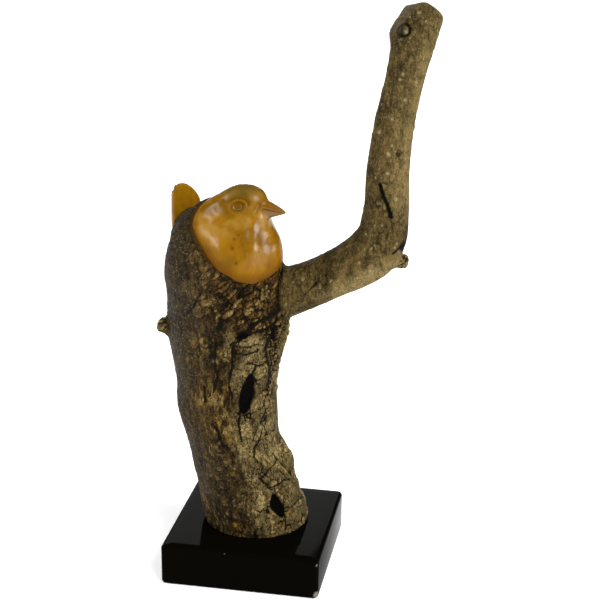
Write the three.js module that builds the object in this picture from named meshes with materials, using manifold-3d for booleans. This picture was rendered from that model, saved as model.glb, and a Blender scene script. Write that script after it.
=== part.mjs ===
// Wren carved out of the cut stem of a forked natural branch, standing on a square black plinth.
// Millimetres, +Z up. The origin is the centre of the plinth's underside, and the front looks to -Y.
import * as THREE from 'three';
import { mergeVertices } from 'three/addons/utils/BufferGeometryUtils.js';
import Module from 'manifold-3d';

const wasm = await Module();
wasm.setup();

// Plinth
const PLINTH_SIDE = 102;
const PLINTH_HEIGHT = 27;
const PLINTH_CORNER = 3.5;
const PLINTH_EDGE = 2.2;
const PLINTH_EDGE_STEPS = 3;
const PLINTH_CORNER_STEPS = 4;

// Where the foot of the branch stands on the plinth, and how far the branch is turned about +Z
const GLUE_GAP = 0.3;
const FOOT_X = 1.5;
const FOOT_Y = 4;
const BRANCH_TURN = 10;

// Stem: height above the foot, centre x, centre y and radius of its round sections
const STEM = [
  [0, -1.2, 0, 33.8],
  [8, -2.9, 0, 34.4],
  [20, -6, 0, 32.9],
  [42, -11, 0, 31.8],
  [58, -16.4, 0, 30.2],
  [76, -19.7, 0, 31.9],
  [99, -20.6, 0, 32.3],
  [121, -20.3, 1, 36.2],
  [137, -20.2, 2, 37.9],
  [158, -21, 2, 37.6],
  [165.5, -22, 2.5, 37.8],
];
const SHOULDER_HEIGHT = 165.5;
const BACK_RISE = 51;
const BACK_LEAN_X = -3;
const BACK_LEAN_Y = 0.5;
const BACK_ROUNDNESS = 1.8;
const BACK_END = 0.996;
const BACK_TIP_SLOPE = 2;

// Furrows of the stem's bark: depth, number, how they sway and break up the stem, and where they fade
const FURROW_DEPTH = 1.3;
const FURROWS_ROUND = 11;
const FURROW_SWAY = 1.6;
const FURROW_SWAY_RISE = 17;
const FURROW_SWAY_TURNS = 2;
const FURROW_BREAK_RISE = 9;
const FURROW_BREAK_TURNS = 3;
const FURROW_FADE = 20;

// Lumps of the stem as angle in degrees, height, spread in mm and depth
const STEM_LUMPS = [
  { angle: -6, height: 46, spread: 9, depth: 2.2 },
  { angle: -62, height: 97, spread: 17, depth: 1.4 },
  { angle: -40, height: 26, spread: 12, depth: 1.6 },
  { angle: 181, height: 131, spread: 10, depth: 1.5 },
  { angle: -20, height: 131, spread: 14, depth: 1.8 },
];

// Fold in the bark between stem and limb, from the crotch down to the left, as angle and height
const FOLD = [
  [-28, 158],
  [-52, 140],
  [-78, 124],
  [-100, 112],
];
const FOLD_DEPTH = 3.2;
const FOLD_SPREAD = 5;

// Limb: centre x, y, z and radius, from inside the stem round the elbow to above the cut top
const LIMB = [
  [-20, 2, 146, 19],
  [4, 0, 152, 17],
  [25, -1, 159, 15],
  [48, -2, 169.6, 14.6],
  [60, -3, 176.3, 15.6],
  [70.5, -3, 184.5, 16.4],
  [76, -3, 194.5, 15.4],
  [77.8, -3, 208, 14.2],
  [78.4, -1, 236, 13.2],
  [82.3, 1, 269, 12],
  [87.2, 2, 293, 11.8],
  [91.2, 3, 313, 13],
  [95.8, 3, 333, 13.8],
  [99.5, 3, 346, 13.8],
];

// Cuts at the limb's top: a point on each flat and the way it faces
const TOP_CUTS = [
  { point: [92.8, 3, 335.2], facing: [0.42, 0.35, 0.84] },
  { point: [85.2, -6, 329], facing: [-0.74, -0.15, 0.66] },
];
const CUT_BLOCK = 80;

// Stubs of twigs and the pruned knot below the limb's top: start, end and the two radii
const STUBS = [
  { from: [-50, -1, 131.5], to: [-65, -4, 135], thick: 6.5, thin: 3.8 },
  { from: [76, -2, 180], to: [93.2, -3, 178], thick: 7, thin: 2.8 },
  { from: [87.5, 3, 318], to: [83.4, -11, 322.6], thick: 10.5, thin: 4.6 },
];

// Bark that swells round the root of the tail
const TAIL_ROOT = { centre: [-42, 22, 184], radii: [15, 11, 20] };

// Holes left by rotted twigs: centre and half sizes of an egg-shaped hollow
const HOLES = [
  { centre: [-7.3, -29.5, 96.8], radii: [4.2, 11, 13.2] },
  { centre: [12, -26.5, 20.1], radii: [3.9, 9, 7] },
];

// Bird: headings in degrees, 0 toward +X and -90 toward the front
const BODY_HEADING = -50;
const HEAD_HEADING = -20;
const BILL_HEADING = -17;
const HEAD = { centre: [-8.8, -9, 212.2], radii: [15.5, 13.5, 16.2], heading: HEAD_HEADING };
const FOREHEAD = { centre: [-4.5, -10, 217.8], radii: [8, 8, 8.4], heading: HEAD_HEADING };
const NECK = { centre: [-21, -3, 197.5], radii: [19, 19, 19], heading: BODY_HEADING };
const BREAST_RIGHT = { centre: [-18.9, -12.1, 184.5], radii: [26.5, 19.2, 31.5], heading: BODY_HEADING };
const BREAST_LEFT = { centre: [-6.7, -1.9, 183], radii: [25.5, 18, 26], heading: BODY_HEADING };
const BREAST_BLEND = 7;
const THROAT_BLEND = 11;
const FOREHEAD_BLEND = 3;
const NAPE_BLEND = 12;
const BIRD_MIDDLE = [-14, -7, 194];
const LONGEST_RAY = 60;
const RAY_HALVINGS = 24;

// Bill: tip, length, half width and half depths at its root, and the powers they grow with from the tip
const BILL_TIP = [16.4, -18, 212.4];
const BILL_LENGTH = 21;
const BILL_ROOT = 1;
const BILL_HALF_WIDTH = 6.6;
const BILL_ABOVE = 6.8;
const BILL_BELOW = 10.6;
const BILL_WIDTH_POWER = 0.8;
const BILL_ABOVE_POWER = 0.68;
const BILL_BELOW_POWER = 0.9;

// How far the bill's tip dips in degrees, how blunt it is, and how its rings crowd toward the tip
const BILL_DIP = 9;
const BILL_BLUNT = 0.2;
const BILL_CROWDING = 1.5;
const BILL_AROUND = 16;
const BILL_ALONG = 6;

// Eyes: degrees round from the bill and above level, as seen from the middle of the head, and size
const EYE_ROUND = 85;
const EYE_LIFT = 19;
const EYE_RADIUS = 4.4;
const EYE_BULGE = 1.3;
const EYE_RING_RADIUS = 5.6;
const EYE_RING_THICK = 0.7;

// Edge of the bark round the bird: a leaning plane below the breast, and a lip round the back
const RIM_POINT = [-12.8, -7, 190];
const RIM_TILT = 38.3;
const BARK_THICKNESS = 2.2;

// Tail: a flat paddle of bare wood behind the back
const TAIL_PLACE = [-47, 27, 192.5];
const TAIL_HEADING = -66;
const TAIL_WIDTH = 18.4;
const TAIL_BELOW = 22;
const TAIL_ABOVE = 26.4;
const TAIL_THICK = 5.2;
const TAIL_EDGE = 1.3;

// Top of the tail: heights of its right and left shoulders, drop of its right curve and place of its crown
const TAIL_RIGHT_SHOULDER = 15;
const TAIL_LEFT_SHOULDER = 20;
const TAIL_RIGHT_DROP = 4;
const TAIL_CROWN = 1.3;

// Steps round and along the curved surfaces
const STEM_ROUND = 40;
const STEM_ALONG = 44;
const BACK_ALONG = 24;
const RING_CROWDING = 0.9;
const LIMB_ROUND = 20;
const LIMB_ALONG = 40;
const BIRD_ROUND = 36;
const BIRD_ALONG = 26;
const STUB_ROUND = 12;
const EGG_ROUND = 14;
const EGG_ALONG = 10;
const EYE_ROUND_STEPS = 16;
const EYE_ALONG_STEPS = 10;
const RING_ROUND_STEPS = 20;
const RING_THICK_STEPS = 6;
const TAIL_EDGE_STEPS = 2;
const TAIL_CURVE_STEPS = 6;
const MERGE_DISTANCE = 0.0005;
const NEARLY_NOTHING = 1e-6;

// Colours of the two solids
const BARK_COLOUR = 0x6b5c3e;
const BARK_ROUGHNESS = 0.85;
const LACQUER_COLOUR = 0x0b0b0a;
const LACQUER_ROUGHNESS = 0.12;

const UP = new THREE.Vector3(0, 0, 1);

// Closed three.js geometry to a solid that can be joined and cut
function solidOf(geometry) {
  geometry.deleteAttribute('normal');
  geometry.deleteAttribute('uv');
  const merged = mergeVertices(geometry, MERGE_DISTANCE);
  const vertProperties = new Float32Array(merged.attributes.position.array);
  const triVerts = new Uint32Array(merged.index.array);
  return new wasm.Manifold(new wasm.Mesh({ numProp: 3, vertProperties, triVerts }));
}

// Solid back to a geometry
function geometryOf(solid) {
  const mesh = solid.getMesh();
  const geometry = new THREE.BufferGeometry();
  geometry.setAttribute('position', new THREE.BufferAttribute(new Float32Array(mesh.vertProperties), 3));
  geometry.setIndex(new THREE.BufferAttribute(new Uint32Array(mesh.triVerts), 1));
  geometry.computeVertexNormals();
  return geometry;
}

// Moves every vertex of a geometry to the place that a function gives for it
function reshape(geometry, place) {
  const position = geometry.attributes.position;
  const vertex = new THREE.Vector3();
  for (let i = 0; i < position.count; i += 1) {
    vertex.fromBufferAttribute(position, i);
    const moved = place(vertex);
    position.setXYZ(i, moved.x, moved.y, moved.z);
  }
  return geometry;
}

// Row of a table whose first column is t, eased between its rows by a cubic with the table's own slopes
function rowAt(table, t) {
  const last = table.length - 1;
  const clamped = THREE.MathUtils.clamp(t, table[0][0], table[last][0]);
  let k = 0;
  while (k < last - 1 && clamped > table[k + 1][0]) {
    k += 1;
  }
  const slope = (i, column) => {
    const before = table[Math.max(i - 1, 0)];
    const after = table[Math.min(i + 1, last)];
    return (after[column] - before[column]) / (after[0] - before[0]);
  };
  const span = table[k + 1][0] - table[k][0];
  const u = (clamped - table[k][0]) / span;
  return table[k].map((value, column) => {
    const next = table[k + 1][column];
    const start = slope(k, column) * span;
    const end = slope(k + 1, column) * span;
    const ease = u * u * (3 - 2 * u);
    return value + (next - value) * ease + start * u * (1 - u) * (1 - u) - end * u * u * (1 - u);
  });
}

// Section of the stem at a height: above the shoulder the radius follows a slightly pointed quarter ellipse
function stemSection(height) {
  const [, x, y, radius] = rowAt(STEM, height);
  const rise = THREE.MathUtils.clamp((height - SHOULDER_HEIGHT) / BACK_RISE, 0, BACK_END);
  return {
    x: x + BACK_LEAN_X * rise,
    y: y + BACK_LEAN_Y * rise,
    radius: radius * (1 - rise ** BACK_ROUNDNESS) ** (1 / BACK_ROUNDNESS),
  };
}

// Bell-shaped weight that is 1 at no distance and fades over the spread
function bell(distance, spread) {
  return Math.exp(-((distance / spread) ** 2));
}

// Difference of two angles in degrees, between -180 and 180
function angleBetween(a, b) {
  return THREE.MathUtils.euclideanModulo(a - b + 180, 360) - 180;
}

// Height of the bark's furrows, lumps and fold over the stem's smooth section
function stemRelief(angle, height, radius) {
  const round = THREE.MathUtils.degToRad(angle);
  const sway = FURROW_SWAY * Math.sin(height / FURROW_SWAY_RISE + FURROW_SWAY_TURNS * Math.sin(round));
  const broken = Math.sin(height / FURROW_BREAK_RISE + FURROW_BREAK_TURNS * round);
  let relief = FURROW_DEPTH * Math.sin(FURROWS_ROUND * round + sway) * broken;
  const mmPerDegree = THREE.MathUtils.degToRad(radius);
  for (const lump of STEM_LUMPS) {
    const sideways = angleBetween(angle, lump.angle) * mmPerDegree;
    relief += lump.depth * bell(Math.hypot(sideways, height - lump.height), lump.spread);
  }
  let nearest = Infinity;
  for (let i = 0; i < FOLD.length - 1; i += 1) {
    const start = new THREE.Vector2(angleBetween(FOLD[i][0], angle) * mmPerDegree, FOLD[i][1] - height);
    const end = new THREE.Vector2(angleBetween(FOLD[i + 1][0], angle) * mmPerDegree, FOLD[i + 1][1] - height);
    const along = end.clone().sub(start);
    const share = THREE.MathUtils.clamp(-start.dot(along) / along.lengthSq(), 0, 1);
    nearest = Math.min(nearest, start.addScaledVector(along, share).length());
  }
  return relief - FOLD_DEPTH * bell(nearest, FOLD_SPREAD);
}

// Stem: a capped cylinder whose rings take the sections from the foot to the top of the back
function stemSolid() {
  const top = SHOULDER_HEIGHT + BACK_RISE * BACK_END;
  const blank = new THREE.CylinderGeometry(1, 1, 1, STEM_ROUND, STEM_ALONG);
  return solidOf(reshape(blank, (vertex) => {
    const height = Math.sin((vertex.y + 0.5) * Math.PI / 2) ** RING_CROWDING * top;
    const angle = Math.atan2(-vertex.z, vertex.x);
    const section = stemSection(height);
    const fade = Math.min(section.radius / FURROW_FADE, 1);
    const relief = stemRelief(THREE.MathUtils.radToDeg(angle), height, section.radius);
    const reach = Math.hypot(vertex.x, vertex.z) * (section.radius + relief * fade);
    const x = section.x + reach * Math.cos(angle);
    const y = section.y + reach * Math.sin(angle);
    return new THREE.Vector3(x, y, height);
  }));
}

// Bare wood of the back, under the bark: a ball whose rings take the stem's sections, made thinner
function backWoodSolid() {
  const blank = new THREE.SphereGeometry(1, STEM_ROUND, BACK_ALONG);
  blank.rotateX(Math.PI / 2);
  return solidOf(reshape(blank, (vertex) => {
    const ring = Math.max(Math.hypot(vertex.x, vertex.y), NEARLY_NOTHING);
    const height = SHOULDER_HEIGHT + vertex.z * (BACK_RISE - BARK_THICKNESS);
    const section = stemSection(height + BARK_THICKNESS);
    const bare = Math.max(section.radius - BARK_THICKNESS, 0);
    const reach = Math.min(bare, ring * section.radius * BACK_TIP_SLOPE) / ring;
    return new THREE.Vector3(section.x + vertex.x * reach, section.y + vertex.y * reach, height);
  }));
}

// Limb: a capped cylinder bent along the limb's centre line, round sections square to it
function limbSolid() {
  const centres = LIMB.map(([x, y, z]) => new THREE.Vector3(x, y, z));
  const line = new THREE.CatmullRomCurve3(centres);
  const frames = line.computeFrenetFrames(LIMB_ALONG, false);
  const blank = new THREE.CylinderGeometry(1, 1, 1, LIMB_ROUND, LIMB_ALONG);
  return solidOf(reshape(blank, (vertex) => {
    const ring = Math.round((vertex.y + 0.5) * LIMB_ALONG);
    const knot = line.getUtoTmapping(ring / LIMB_ALONG) * (LIMB.length - 1);
    const lower = Math.min(Math.floor(knot), LIMB.length - 2);
    const radius = THREE.MathUtils.lerp(LIMB[lower][3], LIMB[lower + 1][3], knot - lower);
    return line.getPointAt(ring / LIMB_ALONG)
      .addScaledVector(frames.normals[ring], vertex.x * radius)
      .addScaledVector(frames.binormals[ring], -vertex.z * radius);
  }));
}

// Tapered stub between two points
function stubSolid({ from, to, thick, thin }) {
  const start = new THREE.Vector3(...from);
  const end = new THREE.Vector3(...to);
  const geometry = new THREE.CylinderGeometry(thin, thick, start.distanceTo(end), STUB_ROUND);
  const turn = new THREE.Quaternion().setFromUnitVectors(
    new THREE.Vector3(0, 1, 0),
    end.clone().sub(start).normalize(),
  );
  geometry.applyQuaternion(turn);
  geometry.translate((start.x + end.x) / 2, (start.y + end.y) / 2, (start.z + end.z) / 2);
  return solidOf(geometry);
}

// Egg-shaped swelling or hollow
function eggSolid({ centre, radii }) {
  const geometry = new THREE.SphereGeometry(1, EGG_ROUND, EGG_ALONG);
  geometry.scale(...radii);
  geometry.translate(...centre);
  return solidOf(geometry);
}

// Block whose lower face is the flat of a cut
function cutBlock(point, facing) {
  const geometry = new THREE.BoxGeometry(CUT_BLOCK, CUT_BLOCK, CUT_BLOCK);
  geometry.translate(0, 0, CUT_BLOCK / 2);
  geometry.applyQuaternion(new THREE.Quaternion().setFromUnitVectors(UP, facing.clone().normalize()));
  geometry.translate(point.x, point.y, point.z);
  return solidOf(geometry);
}

// Rough distance from a point to an ellipsoid turned about +Z, less than nothing inside it
function ellipsoidDistance(point, { centre, radii, heading }) {
  const local = point.clone().sub(new THREE.Vector3(...centre));
  local.applyAxisAngle(UP, -THREE.MathUtils.degToRad(heading));
  const size = new THREE.Vector3(...radii);
  const scaled = local.clone().divide(size);
  const reach = scaled.length();
  return reach * (reach - 1) / Math.max(scaled.divide(size).length(), NEARLY_NOTHING);
}

// Smaller of two distances, rounded where they meet over the given width
function blend(a, b, width) {
  const near = Math.max(width - Math.abs(a - b), 0) / width;
  return Math.min(a, b) - near * near * width / 4;
}

// Distance to the carved body and head, without the bill
function birdDistance(point) {
  const breast = blend(
    ellipsoidDistance(point, BREAST_LEFT),
    ellipsoidDistance(point, BREAST_RIGHT),
    BREAST_BLEND,
  );
  const bust = blend(ellipsoidDistance(point, HEAD), breast, THROAT_BLEND);
  const browed = blend(bust, ellipsoidDistance(point, FOREHEAD), FOREHEAD_BLEND);
  return blend(browed, ellipsoidDistance(point, NECK), NAPE_BLEND);
}

// Point where a ray from inside the body comes within a margin of leaving it, found by halving
function leavingPoint(start, ray, margin) {
  let near = 0;
  let far = LONGEST_RAY;
  for (let step = 0; step < RAY_HALVINGS; step += 1) {
    const half = (near + far) / 2;
    const inside = birdDistance(start.clone().addScaledVector(ray, half)) < margin;
    near = inside ? half : near;
    far = inside ? far : half;
  }
  return start.clone().addScaledVector(ray, near);
}

// Body and head, or the same grown by a margin: a ball whose points slide out along their rays
function birdSolid(margin) {
  const middle = new THREE.Vector3(...BIRD_MIDDLE);
  const blank = new THREE.SphereGeometry(1, BIRD_ROUND, BIRD_ALONG);
  blank.rotateX(Math.PI / 2);
  return solidOf(reshape(blank, (vertex) => leavingPoint(middle, vertex.clone().normalize(), margin)));
}

// Bill: a cone deeper than it is wide, arched above and straighter below
function billSolid() {
  const blank = new THREE.CylinderGeometry(1, 1, 1, BILL_AROUND, BILL_ALONG);
  return solidOf(reshape(blank, (vertex) => {
    const back = ((0.5 - vertex.y) ** BILL_CROWDING) * (BILL_LENGTH + BILL_ROOT);
    const share = (back + BILL_BLUNT) / BILL_LENGTH;
    const below = BILL_BELOW * share ** BILL_BELOW_POWER;
    const above = BILL_ABOVE * share ** BILL_ABOVE_POWER;
    const width = BILL_HALF_WIDTH * share ** BILL_WIDTH_POWER;
    const local = new THREE.Vector3(-back, vertex.x * width, -vertex.z * (vertex.z > 0 ? below : above));
    local.applyAxisAngle(new THREE.Vector3(0, 1, 0), THREE.MathUtils.degToRad(BILL_DIP));
    local.applyAxisAngle(UP, THREE.MathUtils.degToRad(BILL_HEADING));
    return local.add(new THREE.Vector3(...BILL_TIP));
  }));
}

// Direction in which the body's surface faces at a point
function outwardAt(point) {
  const axes = [new THREE.Vector3(1, 0, 0), new THREE.Vector3(0, 1, 0), UP];
  const slopes = axes.map((axis) => (
    birdDistance(point.clone().add(axis)) - birdDistance(point.clone().sub(axis))
  ));
  return new THREE.Vector3(...slopes).normalize();
}

// Eye on one side of the head: a shallow dome in a raised ring
function eyeSolids(side) {
  const round = THREE.MathUtils.degToRad(HEAD_HEADING + side * EYE_ROUND);
  const lift = THREE.MathUtils.degToRad(EYE_LIFT);
  const level = Math.cos(lift);
  const ray = new THREE.Vector3(Math.cos(round) * level, Math.sin(round) * level, Math.sin(lift));
  const place = leavingPoint(new THREE.Vector3(...HEAD.centre), ray, 0);
  const turn = new THREE.Quaternion().setFromUnitVectors(UP, outwardAt(place));
  const dome = new THREE.SphereGeometry(1, EYE_ROUND_STEPS, EYE_ALONG_STEPS);
  dome.scale(EYE_RADIUS, EYE_RADIUS, EYE_BULGE);
  const ring = new THREE.TorusGeometry(EYE_RING_RADIUS, EYE_RING_THICK, RING_THICK_STEPS, RING_ROUND_STEPS);
  return [dome, ring].map((geometry) => {
    geometry.applyQuaternion(turn);
    geometry.translate(place.x, place.y, place.z);
    return solidOf(geometry);
  });
}

// Tail: an outline with a high left side and a falling right shoulder, given its thickness
function tailSolid() {
  const half = TAIL_WIDTH / 2 - TAIL_EDGE;
  const outline = new THREE.Shape();
  outline.moveTo(-half, -TAIL_BELOW);
  outline.lineTo(half, -TAIL_BELOW);
  outline.lineTo(half, TAIL_RIGHT_SHOULDER);
  outline.quadraticCurveTo(half, TAIL_ABOVE - TAIL_RIGHT_DROP, TAIL_CROWN, TAIL_ABOVE - TAIL_EDGE);
  outline.quadraticCurveTo(-half, TAIL_ABOVE - TAIL_EDGE, -half, TAIL_LEFT_SHOULDER);
  const geometry = new THREE.ExtrudeGeometry(outline, {
    depth: TAIL_THICK - 2 * TAIL_EDGE,
    bevelThickness: TAIL_EDGE,
    bevelSize: TAIL_EDGE,
    bevelSegments: TAIL_EDGE_STEPS,
    curveSegments: TAIL_CURVE_STEPS,
  });
  geometry.translate(0, 0, -TAIL_THICK / 2 + TAIL_EDGE);
  geometry.rotateX(Math.PI / 2);
  geometry.rotateZ(THREE.MathUtils.degToRad(TAIL_HEADING + 90));
  geometry.translate(...TAIL_PLACE);
  return solidOf(geometry);
}

// Space that the bark leaves free round the bird: above the leaning rim and close to the body
function barkOpening() {
  const facing = new THREE.Vector3(0, 0, 1)
    .applyAxisAngle(new THREE.Vector3(0, 1, 0), THREE.MathUtils.degToRad(RIM_TILT))
    .applyAxisAngle(UP, THREE.MathUtils.degToRad(BODY_HEADING));
  return birdSolid(BARK_THICKNESS).intersect(cutBlock(new THREE.Vector3(...RIM_POINT), facing));
}

// Branch with the wren: bark-covered stem and limb, opened round the bird, holes and cut top
function carvedBranchGeometry() {
  let branch = stemSolid().subtract(barkOpening()).add(backWoodSolid()).add(limbSolid());
  for (const stub of STUBS) {
    branch = branch.add(stubSolid(stub));
  }
  branch = branch.add(eggSolid(TAIL_ROOT));
  for (const hole of HOLES) {
    branch = branch.subtract(eggSolid(hole));
  }
  for (const { point, facing } of TOP_CUTS) {
    branch = branch.subtract(cutBlock(new THREE.Vector3(...point), new THREE.Vector3(...facing)));
  }
  const carving = [birdSolid(0), billSolid(), tailSolid(), ...eyeSolids(1), ...eyeSolids(-1)];
  for (const piece of carving) {
    branch = branch.add(piece);
  }
  return geometryOf(branch);
}

// Plinth: a square block with rounded corners and softly broken edges
function plinthGeometry() {
  const half = PLINTH_SIDE / 2 - PLINTH_EDGE;
  const corner = PLINTH_CORNER - PLINTH_EDGE / 2;
  const outline = new THREE.Shape();
  outline.moveTo(half, corner - half);
  outline.absarc(half - corner, half - corner, corner, 0, Math.PI / 2);
  outline.absarc(corner - half, half - corner, corner, Math.PI / 2, Math.PI);
  outline.absarc(corner - half, corner - half, corner, Math.PI, 1.5 * Math.PI);
  outline.absarc(half - corner, corner - half, corner, 1.5 * Math.PI, 2 * Math.PI);
  const geometry = new THREE.ExtrudeGeometry(outline, {
    depth: PLINTH_HEIGHT - 2 * PLINTH_EDGE,
    bevelThickness: PLINTH_EDGE,
    bevelSize: PLINTH_EDGE,
    bevelSegments: PLINTH_EDGE_STEPS,
    curveSegments: PLINTH_CORNER_STEPS,
  });
  geometry.translate(0, 0, PLINTH_EDGE);
  return geometryOf(solidOf(geometry));
}

const barkedWood = new THREE.MeshStandardMaterial({ color: BARK_COLOUR, roughness: BARK_ROUGHNESS });
const blackLacquer = new THREE.MeshStandardMaterial({ color: LACQUER_COLOUR, roughness: LACQUER_ROUGHNESS });

const plinth = new THREE.Mesh(plinthGeometry(), blackLacquer);
plinth.name = 'plinth';

const carvedBranch = new THREE.Mesh(carvedBranchGeometry(), barkedWood);
carvedBranch.name = 'carved_branch';

const branchPlace = new THREE.Group();
branchPlace.position.set(FOOT_X, FOOT_Y, PLINTH_HEIGHT + GLUE_GAP);
branchPlace.rotation.z = THREE.MathUtils.degToRad(BRANCH_TURN);
branchPlace.add(carvedBranch);

const group = new THREE.Group();
group.add(plinth, branchPlace);

export default group;
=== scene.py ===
"""Wren carved out of a forked branch on a black plinth: bark, bare wood, lacquer and a small studio.

Lengths of the branch and bird are in millimetres in the branch's own frame: +Z up from its foot, -Y to the
front. Those of the plinth are in millimetres, and those of the studio in metres, in the part's frame.
"""

import math
from itertools import product

import bpy
import numpy as np
from bpy.props import FloatProperty, FloatVectorProperty, PointerProperty
from mathutils import Matrix, Vector


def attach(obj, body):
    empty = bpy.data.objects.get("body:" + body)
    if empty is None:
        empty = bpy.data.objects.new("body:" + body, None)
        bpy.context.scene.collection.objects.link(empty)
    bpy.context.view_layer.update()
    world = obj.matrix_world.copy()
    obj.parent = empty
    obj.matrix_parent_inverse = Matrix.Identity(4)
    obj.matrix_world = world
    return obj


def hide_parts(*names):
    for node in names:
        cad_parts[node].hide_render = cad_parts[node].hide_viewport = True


bl_info = {
    "name": "Wren on a Branch",
    "version": (1, 0, 0),
    "blender": (4, 5, 0),
    "location": "View3D > Sidebar > Wren",
    "description": "Dresses the carved wren, its bark-covered branch and its plinth",
    "category": "Object",
}

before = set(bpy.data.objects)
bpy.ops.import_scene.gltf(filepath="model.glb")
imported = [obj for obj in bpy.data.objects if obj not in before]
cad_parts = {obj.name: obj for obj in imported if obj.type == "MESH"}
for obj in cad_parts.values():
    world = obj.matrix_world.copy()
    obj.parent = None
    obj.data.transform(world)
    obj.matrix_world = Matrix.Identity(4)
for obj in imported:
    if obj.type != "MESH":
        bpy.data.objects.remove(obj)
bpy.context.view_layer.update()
MM = 0.001

# Where the branch stands: turn about +Z in degrees, and its foot over the middle of the plinth
BRANCH_TURN = 10
BRANCH_FOOT = (1.5, 4, 27.3)

# Stem: height, centre x, centre y and radius, and the rounded back above its shoulder
STEM = (
    (0, -1.2, 0, 33.8),
    (8, -2.9, 0, 34.4),
    (20, -6, 0, 32.9),
    (42, -11, 0, 31.8),
    (58, -16.4, 0, 30.2),
    (76, -19.7, 0, 31.9),
    (99, -20.6, 0, 32.3),
    (121, -20.3, 1, 36.2),
    (137, -20.2, 2, 37.9),
    (158, -21, 2, 37.6),
    (165.5, -22, 2.5, 37.8),
)
SHOULDER_HEIGHT = 165.5
BACK_RISE = 51
BACK_LEAN = (-3, 0.5)
BACK_ROUNDNESS = 1.8
# The back's tip is closed by a level plane this far below it, over its last millimetres
BACK_LEVEL = 0.3
BACK_LEVEL_FROM = 2.5
MEAN_RADIUS = 33

# Limb: centre x, y, z and radius
LIMB = (
    (-20, 2, 146, 19),
    (4, 0, 152, 17),
    (25, -1, 159, 15),
    (48, -2, 169.6, 14.6),
    (60, -3, 176.3, 15.6),
    (70.5, -3, 184.5, 16.4),
    (76, -3, 194.5, 15.4),
    (77.8, -3, 208, 14.2),
    (78.4, -1, 236, 13.2),
    (82.3, 1, 269, 12),
    (87.2, 2, 293, 11.8),
    (91.2, 3, 313, 13),
    (95.8, 3, 333, 13.8),
    (99.5, 3, 346, 13.8),
)
LIMB_STEPS = 90
# The limb is worked out only past this x and z
LIMB_FROM = (-25, 115)
CROTCH_BLEND = 5

# Flats at the limb's top: a point, the way it faces and how far its edge is rounded
TOP_CUTS = (
    ((92.8, 3, 335.2), (0.42, 0.35, 0.84), 2),
    ((85.2, -6, 329), (-0.74, -0.15, 0.66), 3),
)
TOP_CUTS_FROM = 290
LIMB_END_WAY = (0.27, 0, 0.96)

# Twig stubs and the pruned knot: start, end and the two radii
STUBS = (
    ((-50, -1, 131.5), (-61.5, -4, 134.5), 6.5, 4.4),
    ((76, -2, 180), (90.5, -3, 178), 6, 3.9),
    ((87, 2, 318.5), (83.6, -9, 322.3), 10.5, 4.6),
)
STUB_NAMES = ("left_twig_stub", "elbow_twig_stub")
STUB_BLEND = 3
TAIL_ROOT = ((-42, 22, 184), (15, 11, 20))
TAIL_ROOT_BLEND = 8

# Bird: centres, radii and headings, 0 toward +X and -90 toward the front
HEAD = ((-8.8, -9, 212.2), (15.5, 13.5, 16.2), -20)
FOREHEAD = ((-4.5, -10, 217.8), (8, 8, 8.4), -20)
FOREHEAD_BLEND = 3
NECK = ((-21, -3, 197.5), (19, 19, 19), -50)
BREAST_RIGHT = ((-18.9, -12.1, 184.5), (26.5, 19.2, 31.5), -50)
BREAST_LEFT = ((-6.7, -1.9, 183), (25.5, 18, 26), -50)
BREAST_BLEND = 7
THROAT_BLEND = 11
NAPE_BLEND = 12
# Bill: tip, heading and dip, length, sizes at its root, power that each grows by, and bluntness of the tip
BILL_TIP = (16.4, -18, 212.4)
BILL_HEADING = -17
BILL_DIP = 9
BILL_LENGTH = 21
BILL_HALF_WIDTH = 6.6
BILL_ABOVE = 6.8
BILL_BELOW = 10.6
BILL_POWERS = (0.8, 0.68, 0.9)
BILL_BLUNT = 0.3
# Width of the soft join with the forehead
BILL_BLEND = 1.6
# How far the bill's sides run on past its root, and the width and share that bring its distance to scale
BILL_PAST_ROOT = 1.3
BILL_SCALE_WIDTH = 5
BILL_SCALE = 0.8

# Edge of the bark round the bird
RIM_POINT = (-12.8, -7, 190)
RIM_FACING = (0.399, -0.475, 0.785)
BARK_THICKNESS = 2.2
# How far the bark climbs up the right of the breast, and between which places along X
RIM_CLIMB = (4.5, 4, 14)
# Lip of bark that stands over the bare wood
RIM_LIP = 0.7

# Tail: place, heading, half width, height above and below its place, and thickness
TAIL_PLACE = (-47, 27, 192.5)
TAIL_HEADING = -66
TAIL_HALF_WIDTH = 9.5
TAIL_ABOVE = 26.6
TAIL_BELOW = 18
# Shift of its sides, place of its crown, and how fast the top falls to the left and right of it
TAIL_SHIFT = -0.7
TAIL_CROWN = -3.2
TAIL_FALL = (0.05, 0.075)
# Roundness of its upper corners and of its edges, half its thickness, and how it thins upward to a height
TAIL_CORNER = 2.4
TAIL_EDGE = 1.5
TAIL_HALF_THICK = 2.6
TAIL_THINNING = 0.02
TAIL_THINNEST_AT = 30
# The outer edge comes in below this height by this much per square millimetre, up to the most
TAIL_TAPER_FROM = 1
TAIL_TAPER = 0.042
TAIL_TAPER_MOST = 8

# Eye: degrees round from the bill and above level from the middle of the head, then its sizes
EYE_ROUND = 85
EYE_LIFT = 19
EYE_RADIUS = 3.6
EYE_BULGE = 1.7
EYE_RING = 5.0
EYE_PATCH = 6.6
# Height over width of its outline, how far it stands over and reaches into the head, and steps that find it
EYE_FLATNESS = 0.86
EYE_LIFTED = 0.05
EYE_DEPTH = 1.5
EYE_WALK = 40

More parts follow.
